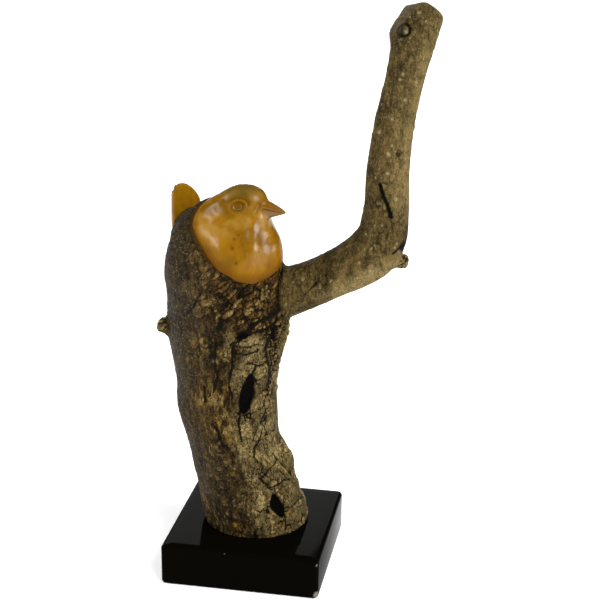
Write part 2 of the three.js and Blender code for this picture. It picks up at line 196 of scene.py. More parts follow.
# Creases and hollows of the carving: half width, depth and the points of each line. Those narrower than
# CREASE_WIDEST are also darkened in colour, as painted shade
CREASE_WIDEST = 3
CREASES = (
    (1.2, 0.3, ((-10.6, -15.5, 224.5), (-7.4, -18.4, 222.4), (-6, -21, 218.4))),
    (1.1, 0.3, ((0.6, -19.7, 217.4), (-0.7, -21.2, 215.3), (-1.3, -22.3, 213.2))),
    (3.2, 0.55, ((-28.2, -18.8, 213.6), (-23.1, -25, 210.4), (-16.9, -29.2, 206.7))),
    (5.5, 0.9, ((-13.3, -29.1, 207.3), (-12.5, -32.9, 199.7), (-11.8, -35.5, 190.5))),
    (2.2, 0.5, ((-21, -18, 220), (-14, -20.5, 222.2), (-8, -21.5, 220))),
)
# Pin knots of the breast: x, y, z and radius
PIN_KNOTS = (
    (-11.7, -31.7, 202.2, 0.7),
    (-14.3, -32.8, 200, 0.9),
    (-15.4, -34.4, 194.5, 1.2),
    (-13, -35.9, 185.6, 1.0),
    (-22, -29, 199.8, 0.6),
    (0.5, -29, 190.5, 0.7),
)

# Edge length of the skins that are worked out from the solids' distances
WREN_VOXEL = 0.6
TAIL_VOXEL = 0.8

# Longest step and least slope when points settle on a surface, and what stands for far away and for nothing
LONGEST_STEP = 3
LEAST_SLOPE = 0.15
FAR_AWAY = 200.0
NEARLY_NOTHING = 1e-9

# Rows and columns of the bark's skins, and how much closer the columns are at the front
STEM_COLUMNS = 276
STEM_ROWS = 344
LIMB_COLUMNS = 150
LIMB_ROWS = 430
LIMB_CAP_ROWS = 24
FRONT_SHARE = 1.2
FRONT_EDGE = 0.35
# Share of the stem's height that its rings reach, and steps that measure its profile and the turn round it
STEM_REACH = 0.9995
PROFILE_STEPS = 2000
TURN_STEPS = 721
# A direction that no tube runs along, and how round the end of a stub is
TUBE_SIDE = (0, 1, 0.1)
STUB_DOME = 0.55

# Fold of bark from the crotch down to the left, and its lower lip, as angle and height
FOLD = ((-8, 178), (-27, 163), (-31, 150), (-60, 145.5), (-76, 139))
FOLD_LIP = ((-22, 146), (-50, 141.5), (-69, 138.5), (-83, 134))

# Cracks on the stem: half width, depth, then angle and height along each
CRACKS = (
    (1.6, 2.6, ((-66, 171), (-70, 166), (-75, 163))),
    (0.8, 1.2, ((-159, 163), (-140, 159), (-124, 156))),
    (0.8, 1.3, ((-110, 165), (-118, 158), (-127, 151))),
    (1.5, 3.0, ((-38, 141), (-44, 134), (-48, 128), (-43, 118), (-35, 108), (-33, 98))),
    (0.7, 1.1, ((-80, 133), (-68, 131), (-57, 131.5))),
    (0.7, 1.1, ((-79, 127.5), (-63, 126.3), (-55, 128))),
    (0.9, 1.4, ((-82, 135), (-83, 118), (-85, 106), (-82, 97))),
    (1.0, 1.7, ((-98, 134), (-99, 120), (-97, 111), (-102, 100))),
    (1.1, 2.4, ((-72, 87), (-75, 80), (-76, 74), (-75, 67))),
    (0.8, 1.5, ((-112, 103), (-113, 93))),
    (0.9, 1.6, ((-104, 78), (-101, 74), (-97, 63))),
    (0.8, 1.5, ((-93, 64), (-91, 60), (-88, 56))),
    (0.9, 1.7, ((-45, 72), (-47, 69), (-51, 64), (-60, 61), (-64, 54))),
    (0.7, 1.2, ((-42, 58), (-38, 54), (-32, 45), (-18, 32))),
    (0.7, 1.2, ((-65, 41), (-50, 45), (-36, 49))),
    (0.9, 1.4, ((-68, 41), (-60, 32.5), (-52, 33.5), (-37, 34), (-25, 32))),
    (0.8, 1.3, ((-44, 24), (-50, 13), (-53, 4))),
    (0.8, 1.3, ((-18, 17.5), (-38, 16), (-46, 17.5))),
    (0.8, 1.4, ((-128, 18), (-121, 9), (-118, 3))),
    (0.7, 1.2, ((-58, 118), (-60, 110), (-52, 104))),
    (0.7, 1.2, ((-68, 120), (-52, 117), (-44, 119))),
)

# Holes left by rotted twigs: angle, height, half width, half height, depth and lean to the right
HOLES = (
    (-65, 98.5, 5.0, 13.6, 10, 0.14),
    (-55, 20.5, 4.4, 7.6, 8, -0.1),
    (-74, 138.5, 3.4, 2.2, 3, 0),
    (-40, 137, 1.8, 5, 3, -0.2),
)

# Lumps of the stem: angle, height, spread and depth
LUMPS = (
    (-6, 46, 9, 2.2),
    (-62, 97, 17, 1.4),
    (-40, 26, 12, 1.6),
    (181, 131, 10, 1.5),
    (-20, 131, 14, 1.8),
)

# Orange and yellow lichen spots on the stem: angle, height and radius
LICHEN_SPOTS = (
    (-116, 91, 1.6),
    (-87, 69, 3),
    (-154, 21, 4),
    (-107, 8, 2.5),
    (-64, 9, 3),
    (-43, 13.5, 3),
    (-100, 78, 2.5),
    (-88, 104, 3),
)

# Slit in the upright limb: its two ends and half width
SLIT = ((73, -13.9, 229.7), (80.3, -16.8, 210.5), 1.25)

# Torn wedge at the elbow, then a forked crack by the crotch: both ends and half width
TEARS = (
    ((82.2, -16.3, 187.2), (86.5, -14, 190.5), 0.9),
    ((87.5, -12.5, 190.5), (92.5, -6, 193.5), 2.8),
    ((89, -11, 188.5), (93, -6, 191), 2.6),
    ((25.2, -14.6, 165.7), (28.4, -15.9, 159.5), 0.4),
    ((28.4, -15.9, 159.5), (35.8, -15.5, 167.4), 0.35),
)

# Pruned knot: its middle, then reach and spread of its collar and groove, and the edge of its face
KNOT_CENTRE = (84.2, -12.9, 322.4)
KNOT_COLLAR = (6.2, 1.6)
KNOT_GROOVE = (4.2, 1.2)
KNOT_FACE = (2.4, 3.3)

# Dark stain round the limb: its place along X, its spread and the height that it ends at
STAIN = (43, 3, 190)
# Pale crumbs on the limb
SPECKS = (
    (77.6, -14.2, 236.9),
    (82.9, -15, 221.2),
    (72.1, -14.8, 218.5),
    (74.8, -17.2, 205.2),
    (70.9, -18.4, 192.5),
    (61.4, -18.6, 181.6),
    (27.3, -13.3, 168.9),
    (79.2, -10.6, 269.1),
    (86.5, -10.1, 281.2),
    (83.2, -9.2, 292.9),
    (84.8, -9.4, 296),
    (72.4, -8.4, 260.6),
    (77.9, -12.9, 248.3),
)

# Depth in millimetres that each pattern adds or takes in each zone of the stem's bark
DEPTHS = {
    "front": {"ridge_tone": 0.9, "ridge_tilt": 0.4, "ridge_crack": -0.6, "furrow": -1.4, "fissure": -0.5},
    "plated": {
        "plate_tone": 0.9,
        "plate_tilt": 0.4,
        "chip_tone": 0.45,
        "plate_crack": -1.2,
        "chipped": -0.35,
        "wrinkle": -0.3,
    },
    "pebbly": {"pebble_tone": 0.4, "chip_tone": 0.5, "pebble_crack": -0.3, "furrow": -0.5, "fissure": -0.35},
    "scaly": {"scale_tone": 2.2, "scale_tilt": -1.7, "scale_crack": -1.3, "fissure": -0.8},
    "strip": {"pebble_tone": 1.2, "pebble_crack": -0.9},
    "smooth": {"chip_tone": 0.4, "pebble_tone": 0.25, "wrinkle": -0.2, "patchy_fissure": -0.3},
}
BARK_DEPTH = 1.25
GRIT_DEPTH = 0.35

# How dark each pattern's cracks are in each zone; the darkest counts. The dark is partly the bark's own and
# partly painted shade in the cracks
CRACK_SHARES = {
    "front": {"ridge_crack": 0.6, "furrow": 1.0, "fissure": 0.62},
    "plated": {"plate_crack": 1.0, "chipped": 0.4, "wrinkle": 0.3},
    "pebbly": {"pebble_crack": 0.4, "furrow": 0.8, "fissure": 0.6},
    "scaly": {"scale_crack": 0.7, "fissure": 0.5},
    "strip": {"pebble_crack": 1.0},
}

# Plinth: side, height, radius of its upright corners and the least radius that they are drawn in to
PLINTH_SIDE = 102
PLINTH_HEIGHT = 27
PLINTH_CORNER = 3.5
PLINTH_LEAST_CORNER = 0.6
PLINTH_ARC_POINTS = 9
# Its rubbed and chipped places: x, y, z and radius
PLINTH_WEAR = ((51, -51, 3, 4), (50.5, -50.5, 24, 2), (-9, -51, 26, 1.2), (20, -51, 26, 1.0))

# Studio, in metres and degrees. Soft panels: name, width, height, glow and place
PANELS = (
    ("left_panel", 0.85, 0.22, 13.0, (-0.98, -0.4, 0.31)),
    ("right_panel", 0.5, 0.22, 7.5, (1.08, 0.12, 0.33)),
    ("upper_left_panel", 0.9, 0.35, 3.0, (-1.0, -0.1, 0.95)),
    ("upper_right_panel", 0.4, 0.4, 4.0, (0.95, -0.38, 1.1)),
    ("back_panel", 1.2, 0.8, 7.0, (-0.38, 2.0, 0.75)),
)
# Point that the panels face
AIM = (0, 0, 0.2)
# Sun: glow, spread and turn
SUN_GLOW = 3.4
SUN_SPREAD = 35
SUN_TURN = (48, 0, 52)
SKY_GLOW = 0.24
WHITE = (1, 1, 1, 1)
# Floor: its own glow, half its side and the lines of its grid
FLOOR_GLOW = 0.32
FLOOR_REACH = 4
FLOOR_LINES = 17

# Camera of the photograph: place, then its turn to the left, tilt down and roll
CAMERA_PLACE = (0.17668, -0.84357, 0.47417)
CAMERA_YAW = 9.979
CAMERA_PITCH = 18.895
CAMERA_ROLL = -0.768
# Lens and sensor in millimetres, and the nearest that it sees
CAMERA_LENS = 87
CAMERA_SENSOR = 36
CAMERA_NEAR = 0.05

# Materials: how far noises push coordinates, growth rings and worn edges, in metres, and the rings' closeness
NOISE_SHIFT = (0.004, 0.004, 0.004)
RING_WARP = 0.004
RINGS_PER_METRE = 4200.0
WEAR_FRAY = 0.0012
LACQUER_IOR = 1.031

# Random tables that the noises below read, the same in each run
RANDOM = np.random.default_rng(11)
REPEAT = 32
MIST_TABLE = RANDOM.random((REPEAT, REPEAT, REPEAT))
CELL_TABLE = RANDOM.random((REPEAT, REPEAT, REPEAT, 4))


# Numbers over whole arrays


def smooth_step(low, high, value):
    """0 below low, 1 above high, and a smooth cubic between them."""
    share = np.clip((value - low) / (high - low), 0, 1)
    return share * share * (3 - 2 * share)


def bell(distance, spread):
    """1 at no distance, falling as e to the minus square of distance over spread."""
    return np.exp(-((distance / spread) ** 2))


def angle_between(a, b):
    """Difference of two angles in degrees, between -180 and 180."""
    return (a - b + 180) % 360 - 180


def soft_union(a, b, width):
    """Smaller of two distances, less a quarter of the width times the square of how near they are."""
    near = np.maximum(width - np.abs(a - b), 0) / width
    return np.minimum(a, b) - near * near * width / 4


def soft_cut(a, b, width):
    """Larger of two distances, rounded over the width: what is inside both."""
    return -soft_union(-a, -b, width)


def mist(points, size, seed=0):
    """Random field between -1 and 1: table values at lattice points of the size, eased between them."""
    scaled = points / size + seed * 7.31
    low = np.floor(scaled).astype(int)
    part = scaled - low
    part = part * part * (3 - 2 * part)
    total = np.zeros(len(points))
    for corner in product((0, 1), repeat=3):
        weight = np.prod(np.where(corner, part, 1 - part), axis=1)
        x, y, z = ((low + corner) % REPEAT).T
        total += weight * MIST_TABLE[x, y, z]
    return 2 * total - 1


def layered_mist(points, size, layers=3, seed=0):
    """Sum of mist fields, each half as coarse and half as strong as the one before."""
    total = np.zeros(len(points))
    for layer in range(layers):
        total += mist(points, size / 2**layer, seed + layer) / 2**layer
    return total / (2 - 2 ** (1 - layers))


def cells(points, size, seed=0):
    """Scattered cells of the size: gap between the two nearest centres, way to the nearest and its number."""
    scaled = points / size + seed * 5.17
    base = np.floor(scaled).astype(int)
    nearest = np.full(len(points), FAR_AWAY)
    second = np.full(len(points), FAR_AWAY)
    number = np.zeros(len(points))
    offset = np.zeros((len(points), 3))
    for step in product((-1, 0, 1), repeat=3):
        cell = base + step
        x, y, z = (cell % REPEAT).T
        centre = cell + 0.5 + 0.8 * (CELL_TABLE[x, y, z, :3] - 0.5)
        away = scaled - centre
        distance = np.linalg.norm(away, axis=1)
        closer = distance < nearest
        second = np.where(closer, nearest, np.minimum(second, distance))
        nearest = np.where(closer, distance, nearest)
        number = np.where(closer, CELL_TABLE[x, y, z, 3], number)
        offset = np.where(closer[:, None], away, offset)
    return second - nearest, offset, number


def eased_row(table, t):
    """Rows of a table at t, its first column: a cubic through its rows with the table's own slopes."""
    rows = np.asarray(table, float)
    at = rows[:, 0]
    slopes = np.gradient(rows, at, axis=0)
    k = np.clip(np.searchsorted(at, t, side="right") - 1, 0, len(at) - 2)
    span = (at[k + 1] - at[k])[..., None]
    u = np.clip((t - at[k]) / (at[k + 1] - at[k]), 0, 1)[..., None]
    ease = u * u * (3 - 2 * u)
    start = slopes[k] * span * u * (1 - u) ** 2
    end = slopes[k + 1] * span * u * u * (1 - u)
    return rows[k] + (rows[k + 1] - rows[k]) * ease + start - end


# Distances to the solid forms


def axes_of(heading, dip=0):
    """Rows forward, left and up for a heading in degrees about +Z and a dip below level."""
    turn, fall = math.radians(heading), math.radians(dip)
    forward = (math.cos(turn) * math.cos(fall), math.sin(turn) * math.cos(fall), -math.sin(fall))
    left = (-math.sin(turn), math.cos(turn), 0)
    return np.array([forward, left, np.cross(forward, left)])


def egg_distance(points, egg):
    """Rough distance to an ellipsoid: reach over its radii, times reach less 1, over the slope of reach."""
    centre, radii = egg[0], np.array(egg[1], float)
    local = points - np.array(centre)
    if len(egg) > 2:
        local = local @ axes_of(egg[2]).T
    reach = np.linalg.norm(local / radii, axis=1)
    slope = np.linalg.norm(local / radii**2, axis=1)
    return reach * (reach - 1) / np.maximum(slope, NEARLY_NOTHING)


def stem_section(height):
    """Centre x, centre y and radius: the table below the shoulder, a pointed quarter ellipse above it."""
    _, x, y, radius = eased_row(STEM, np.clip(height, 0, SHOULDER_HEIGHT)).T
    rise = np.clip((height - SHOULDER_HEIGHT) / BACK_RISE, 0, 1)
    share = np.maximum(1 - rise**BACK_ROUNDNESS, 1e-4) ** (1 / BACK_ROUNDNESS)
    return x + BACK_LEAN[0] * rise, y + BACK_LEAN[1] * rise, radius * share


def stem_distance(points):
    """Distance to the stem: reach from its axis less the radius, eased by how fast the radius changes."""
    height = points[:, 2]
    x, y, radius = stem_section(height)
    slope = np.abs(stem_section(height + 0.5)[2] - stem_section(height - 0.5)[2])
    side = (np.hypot(points[:, 0] - x, points[:, 1] - y) - radius) / np.hypot(1, slope)
    top = SHOULDER_HEIGHT + BACK_RISE
    side = np.where(height > top - BACK_LEVEL_FROM, np.maximum(side, height - top + BACK_LEVEL), side)
    return soft_union(side, egg_distance(points, TAIL_ROOT), TAIL_ROOT_BLEND)


def limb_line():
    """Points and radii spaced evenly along the limb's centre line."""
    rows = np.array(LIMB, float)
    steps = np.linalg.norm(np.diff(rows[:, :3], axis=0), axis=1)
    along = np.concatenate([[0], np.cumsum(steps)])
    line = eased_row(np.column_stack([along, rows]), np.linspace(0, along[-1], LIMB_STEPS))
    return line[:, 1:4], line[:, 4]


def limb_distance(points):
    """Distance to the nearest of the short cones between the points of the limb's line."""
    centres, radii = limb_line()
    least = np.full(len(points), FAR_AWAY)
    near = (points[:, 0] > LIMB_FROM[0]) & (points[:, 2] > LIMB_FROM[1])
    chosen = points[near]
    found = np.full(len(chosen), FAR_AWAY)
    for start, end, thick, thin in zip(centres[:-1], centres[1:], radii[:-1], radii[1:]):
        found = np.minimum(found, cone_distance(chosen, start, end, thick, thin))
    least[near] = found
    return least


def cone_distance(points, start, end, thick, thin):
    """Distance to a line between two points, less a radius that goes from thick to thin along it."""
    line = np.subtract(end, start)
    away = points - start
    share = np.clip(away @ line / (line @ line), 0, 1)
    return np.linalg.norm(away - share[:, None] * line, axis=1) - (thick + (thin - thick) * share)


def branch_distance(points):
    """Stem and limb joined softly, with the stubs, above the foot and below the cut top."""
    body = soft_union(stem_distance(points), limb_distance(points), CROTCH_BLEND)
    for start, end, thick, thin in STUBS:
        body = soft_union(body, cone_distance(points, start, end, thick, thin), STUB_BLEND)
    body = np.maximum(body, -points[:, 2])
    for point, facing, edge in TOP_CUTS:
        over = (points - np.array(point)) @ (np.array(facing) / np.linalg.norm(facing))
        over = np.where(points[:, 2] > TOP_CUTS_FROM, over, -FAR_AWAY)
        body = soft_cut(body, over, edge)
    return body


def bill_size(share):
    """Half width and depths above and below, each growing with a power of the share back from the tip."""
    sizes = zip((BILL_HALF_WIDTH, BILL_ABOVE, BILL_BELOW), BILL_POWERS)
    return [BILL_BLUNT + size * share**power for size, power in sizes]


def bill_distance(points):
    """Cone whose half width and depths grow with powers of the distance back from its tip."""
    local = (points - np.array(BILL_TIP)) @ axes_of(BILL_HEADING, BILL_DIP).T
    back = -local[:, 0]
    share = np.clip(back / BILL_LENGTH, 0, BILL_PAST_ROOT)
    width, above, below = bill_size(share)
    depth = np.where(local[:, 2] > 0, above, below)
    reach = np.hypot(local[:, 1] / width, local[:, 2] / depth)
    side = (reach - 1) * np.minimum(width, BILL_SCALE_WIDTH) * BILL_SCALE
    tip = np.linalg.norm(local, axis=1) - BILL_BLUNT
    return np.maximum(np.where(back < 0, tip, side), back - BILL_LENGTH - 1)


def bird_distance(points):
    """Two lobes of the breast, head, nape and bill, each joined to the rest over its own width."""
    breast = soft_union(egg_distance(points, BREAST_LEFT), egg_distance(points, BREAST_RIGHT), BREAST_BLEND)
    bust = soft_union(egg_distance(points, HEAD), breast, THROAT_BLEND)
    bust = soft_union(bust, egg_distance(points, FOREHEAD), FOREHEAD_BLEND)
    bust = soft_union(bust, egg_distance(points, NECK), NAPE_BLEND)
    return soft_union(bust, bill_distance(points), BILL_BLEND)


def above_rim(points):
    """Height over the rim's plane, less how far the bark climbs on the right."""
    climb, start, end = RIM_CLIMB
    level = (points - np.array(RIM_POINT)) @ np.array(RIM_FACING)
    return level - climb * smooth_step(start, end, points[:, 0])


def tail_taper(up):
    """Millimetres by which the tail's outer edge comes in towards its foot: a square of the depth."""
    return np.minimum(TAIL_TAPER * np.maximum(TAIL_TAPER_FROM - up, 0) ** 2, TAIL_TAPER_MOST)


def tail_distance(points):
    """Upright paddle: half width, a top that falls away from its crown, and a thickness that thins upward."""
    local = (points - np.array(TAIL_PLACE)) @ axes_of(TAIL_HEADING).T
    side, up = local[:, 1] - TAIL_CROWN, local[:, 2]
    crown = TAIL_ABOVE - TAIL_FALL[1] * np.maximum(side, 0) ** 2 - TAIL_FALL[0] * np.minimum(side, 0) ** 2
    off_middle = local[:, 1] - TAIL_SHIFT
    half_width = TAIL_HALF_WIDTH - tail_taper(up) * (off_middle < 0)
    outline = soft_cut(np.abs(off_middle) - half_width, up - crown, TAIL_CORNER)
    thick = np.abs(local[:, 0]) - TAIL_HALF_THICK + TAIL_THINNING * np.clip(up, 0, TAIL_THINNEST_AT)
    return np.maximum(soft_cut(outline, thick, TAIL_EDGE), -up - TAIL_BELOW)


def slope_of(distance, points, step=0.3):
    """Slope of a distance at each point, from steps to both sides along the three axes."""
    slope = np.empty_like(points)
    for axis in range(3):
        shift = np.zeros(3)
        shift[axis] = step
        slope[:, axis] = (distance(points + shift) - distance(points - shift)) / (2 * step)
    return slope


def settle(points, distance, rounds=3):
    """Moves points onto a surface, each round by the distance along its slope; gives them and the way out."""
    for _ in range(rounds):
        slope = slope_of(distance, points)
        steep = np.maximum(np.sum(slope**2, axis=1), LEAST_SLOPE)
        step = np.clip(distance(points) / steep, -LONGEST_STEP, LONGEST_STEP)
        points = points - slope * step[:, None]
    slope = slope_of(distance, points)
    return points, slope / np.maximum(np.linalg.norm(slope, axis=1, keepdims=True), NEARLY_NOTHING)


# Skins


def skin_of_rings(rings, first=0):
    """Closed skin of rings of points: quads between neighbours, and a fan to the middle of each end.

    The faces count the points from the number given as first.
    """
    count, around = rings.shape[:2]
    points = np.vstack([rings.reshape(-1, 3), rings[0].mean(0), rings[-1].mean(0)])
    index = first + np.arange(count * around).reshape(count, around)
    turned = np.roll(index, -1, axis=1)
    middle = np.full(around, first + count * around)
    quads = np.stack([index[:-1], turned[:-1], turned[1:], index[1:]], axis=-1).reshape(-1, 4)
    foot = np.stack([turned[0], index[0], middle], axis=-1)
    head = np.stack([index[-1], turned[-1], middle + 1], axis=-1)
    return points, quads.tolist() + foot.tolist() + head.tolist()


def spread_round(count, front_share):
    """Angles round an axis whose spacing is closest at the front, -Y, and widens smoothly to the back."""
    fine = np.linspace(-math.pi, math.pi, TURN_STEPS)
    density = 1 + front_share * smooth_step(-FRONT_EDGE, FRONT_EDGE, -np.sin(fine))
    total = np.concatenate([[0], np.cumsum((density[1:] + density[:-1]) / 2)])
    return np.interp(np.arange(count) * total[-1] / count, total, fine)


def stem_rings():
    """Rings of the stem's sections, evenly spaced along its profile from the foot to the top of the back."""
    turn = spread_round(STEM_COLUMNS, FRONT_SHARE)
    top = SHOULDER_HEIGHT + BACK_RISE * STEM_REACH
    height = np.sin(np.linspace(0, math.pi / 2, PROFILE_STEPS)) * top
    radius = stem_section(height)[2]
    along = np.concatenate([[0], np.cumsum(np.hypot(np.diff(height), np.diff(radius)))])
    height = np.interp(np.linspace(0, along[-1], STEM_ROWS), along, height)
    x, y, radius = (column[:, None] for column in stem_section(height))
    level = np.broadcast_to(height[:, None], (STEM_ROWS, STEM_COLUMNS))
    return np.stack([x + radius * np.cos(turn), y + radius * np.sin(turn), level], axis=-1)


def tube_rings(centres, radii, turn):
    """Rings square to a line of points, each at its own radius."""
    forward = np.gradient(centres, axis=0)
    forward /= np.linalg.norm(forward, axis=1, keepdims=True)
    left = np.cross(forward, TUBE_SIDE)
    left /= np.linalg.norm(left, axis=1, keepdims=True)
    back = np.cross(left, forward)
    around = turn[None, :, None]
    reach = np.asarray(radii, float)[:, None, None]
    return centres[:, None] + reach * (np.cos(around) * left[:, None] + np.sin(around) * back[:, None])


def limb_rings():
    """Rings along the limb, whose last rows close on the flats at its top.

    Each column slides back along the limb by as much as its end passes a flat, shared out over its last rows,
    and smaller and smaller rings, slid back the same way, fill the flats.
    """
    centres, radii = limb_line()
    share = np.linspace(0, len(radii) - 1, LIMB_ROWS)
    index = np.arange(len(radii))
    centres = np.column_stack([np.interp(share, index, centres[:, axis]) for axis in range(3)])
    radii = np.interp(share, index, radii)
    way = np.array(LIMB_END_WAY)
    shrink = np.sqrt(np.linspace(1, 0.003, LIMB_CAP_ROWS)[1:])
    cap = centres[-1] + np.arange(1, LIMB_CAP_ROWS)[:, None] * way * 1e-3
    part = np.clip((centres[:, 2] - TOP_CUTS_FROM) / (centres[-1, 2] - TOP_CUTS_FROM), 0, 1)
    part = np.concatenate([part, np.ones(len(cap))])[:, None]
    turn = spread_round(LIMB_COLUMNS, FRONT_SHARE)
    rings = tube_rings(np.vstack([centres, cap]), np.concatenate([radii, radii[-1] * shrink]), turn)
    for point, facing, _ in TOP_CUTS:
        over = np.maximum((rings - np.array(point)) @ np.array(facing) / (way @ np.array(facing)), 0)
        over[:LIMB_ROWS] = over[LIMB_ROWS - 1]
        rings = rings - (over * part)[..., None] * way
    return rings


def egg_rings(egg, around=40, up=24):
    """Rings of an ellipsoid: radii times the cosine and sine of the two angles, turned to its heading."""
    turn = np.linspace(0, 2 * math.pi, around, endpoint=False)
    lift = np.linspace(-math.pi / 2 + 0.02, math.pi / 2 - 0.02, up)[:, None]
    flat = np.cos(lift)
    unit = np.stack([flat * np.cos(turn), flat * np.sin(turn), np.sin(lift) + 0 * turn], axis=-1)
    local = unit * np.array(egg[1], float)
    if len(egg) > 2:
        local = local @ axes_of(egg[2])
    return local + np.array(egg[0])


def bill_rings():
    """Rings of the bill from its root to its tip, deeper below than above."""
    turn = np.linspace(0, 2 * math.pi, 24, endpoint=False)
    share = np.linspace(1, 0.004, 22)[:, None]
    upward = np.sin(turn)
    width, above, below = bill_size(share)
    depth = np.where(upward > 0, above, below)
    local = np.stack([-share * BILL_LENGTH + 0 * turn, width * np.cos(turn), depth * upward], axis=-1)
    return local @ axes_of(BILL_HEADING, BILL_DIP) + np.array(BILL_TIP)


def tail_rings():
    """Rings of a rounded box the size of the tail, before it settles onto the tail's own outline."""
    turn = np.linspace(0, 2 * math.pi, 32, endpoint=False)
    level = np.linspace(-TAIL_BELOW, TAIL_ABOVE, 30)[:, None]
    narrow = np.sqrt(np.clip(1 - (np.maximum(level, 0) / (TAIL_ABOVE + 0.5)) ** 4, 0.02, 1))
    thick = TAIL_HALF_THICK * np.sign(np.cos(turn)) * np.abs(np.cos(turn)) ** 0.4
    half_width = TAIL_HALF_WIDTH - tail_taper(level) * (np.sin(turn) < 0)
    wide = TAIL_SHIFT + half_width * np.sign(np.sin(turn)) * np.abs(np.sin(turn)) ** 0.4
    local = np.stack([thick * narrow, wide * narrow, level + 0 * turn], axis=-1)
    return local @ axes_of(TAIL_HEADING) + np.array(TAIL_PLACE)


def to_world(points):
    """Branch frame in millimetres to the row frame in metres."""
    turn = math.radians(BRANCH_TURN)
    x = points[:, 0] * math.cos(turn) - points[:, 1] * math.sin(turn)
    y = points[:, 0] * math.sin(turn) + points[:, 1] * math.cos(turn)
    return (np.column_stack([x, y, points[:, 2]]) + np.array(BRANCH_FOOT)) * MM


def object_of(name, points, faces):
    """Object at the origin whose mesh holds the points and faces."""
    mesh = bpy.data.meshes.new(name)
    mesh.from_pydata(np.asarray(points).tolist(), [], faces)
    mesh.update()
    made = bpy.data.objects.new(name, mesh)
    bpy.context.scene.collection.objects.link(made)
    return made


def mesh_points(mesh):
    """Places of a mesh's vertices as rows."""
    flat = np.empty(len(mesh.vertices) * 3)
    mesh.vertices.foreach_get("co", flat)
    return flat.reshape(-1, 3)


def place_points(mesh, points):
    """Puts rows of places back into a mesh and smooths its shading."""
    mesh.vertices.foreach_set("co", np.ascontiguousarray(points, np.float32).ravel())
    mesh.polygons.foreach_set("use_smooth", np.ones(len(mesh.polygons), bool))
    mesh.update()


def one_skin(name, ring_sets, edge):
    """Joins the overlapping closed skins of sets of rings into one with faces of the given edge length."""
    points, faces = np.empty((0, 3)), []
    for rings in ring_sets:
        more_points, more_faces = skin_of_rings(rings, len(points))
        points = np.vstack([points, more_points])
        faces += more_faces
    made = object_of(name, points, faces)
    remesh = made.modifiers.new("one_skin", "REMESH")
    remesh.mode = "VOXEL"
    remesh.voxel_size = edge
    seen = made.evaluated_get(bpy.context.evaluated_depsgraph_get())
    joined = bpy.data.meshes.new_from_object(seen)
    joined.name = name
    rough = made.data
    made.modifiers.clear()
    made.data = joined
    bpy.data.meshes.remove(rough)
    return made


def measure(mesh, name, values):
    """Keeps one number for each vertex under a name that the materials read."""
    layer = mesh.attributes.new(name, "FLOAT", "POINT")
    layer.data.foreach_set("value", np.asarray(values, np.float32))


# Bark


def angle_round(unrolled):
    """Angle in degrees of each place round the stem's axis."""
    return np.degrees(np.arctan2(unrolled[:, 1], unrolled[:, 0]))


def arc_between(a, b):
    """Millimetres round the stem's mean radius from angle b to angle a."""
    return angle_between(a, b) * math.radians(MEAN_RADIUS)


def line_distance(angle, height, line):
    """Distance in millimetres over the unrolled stem from each point to a line of angles and heights."""
    least = np.full(len(angle), FAR_AWAY)
    for (angle_a, height_a), (angle_b, height_b) in zip(line[:-1], line[1:]):
        start = np.stack([arc_between(angle_a, angle), height_a - height], axis=-1)
        way = np.array([arc_between(angle_b, angle_a), height_b - height_a])
        share = np.clip(-(start @ way) / (way @ way), 0, 1)
        least = np.minimum(least, np.linalg.norm(start + share[:, None] * way, axis=1))
    return least


def flakes(points, size, low, high, seed):
    """Scattered cells as flakes: crack between them from 0 to 1, offset from each middle and its number."""
    gap, away, number = cells(points, size, seed)
    return 1 - smooth_step(low, high, gap), away, number


def stem_zones(angle, edge, height):
    """Share from 0 to 1 of each kind of bark: steps and bells over height and over a ragged angle."""
    smooth = 1 - smooth_step(34, 82, np.abs(angle_between(edge, -174)))
    smooth *= smooth_step(6, 34, height)
    right = smooth_step(-92, -76, edge) * (1 - smooth_step(20, 60, edge))
    plated = right * (1 - smooth_step(134, 143, height))
    pebbly = (1 - right) * (1 - smooth) * (1 - smooth_step(44, 74, height))
    scaly = bell(angle_between(angle, -60), 46) * smooth_step(133, 145, height + 0.25 * (angle + 60))
    scaly *= 1 - 0.8 * smooth
    strip = bell(angle_between(edge, -36), 11) * smooth_step(84, 100, height)
    strip *= 1 - smooth_step(136, 146, height)
    front = np.clip(1 - smooth - plated - pebbly - scaly, 0, 1)
    return {
        "front": front,
        "plated": plated,
        "pebbly": pebbly,
        "scaly": scaly,
        "strip": strip,
        "smooth": smooth,
    }


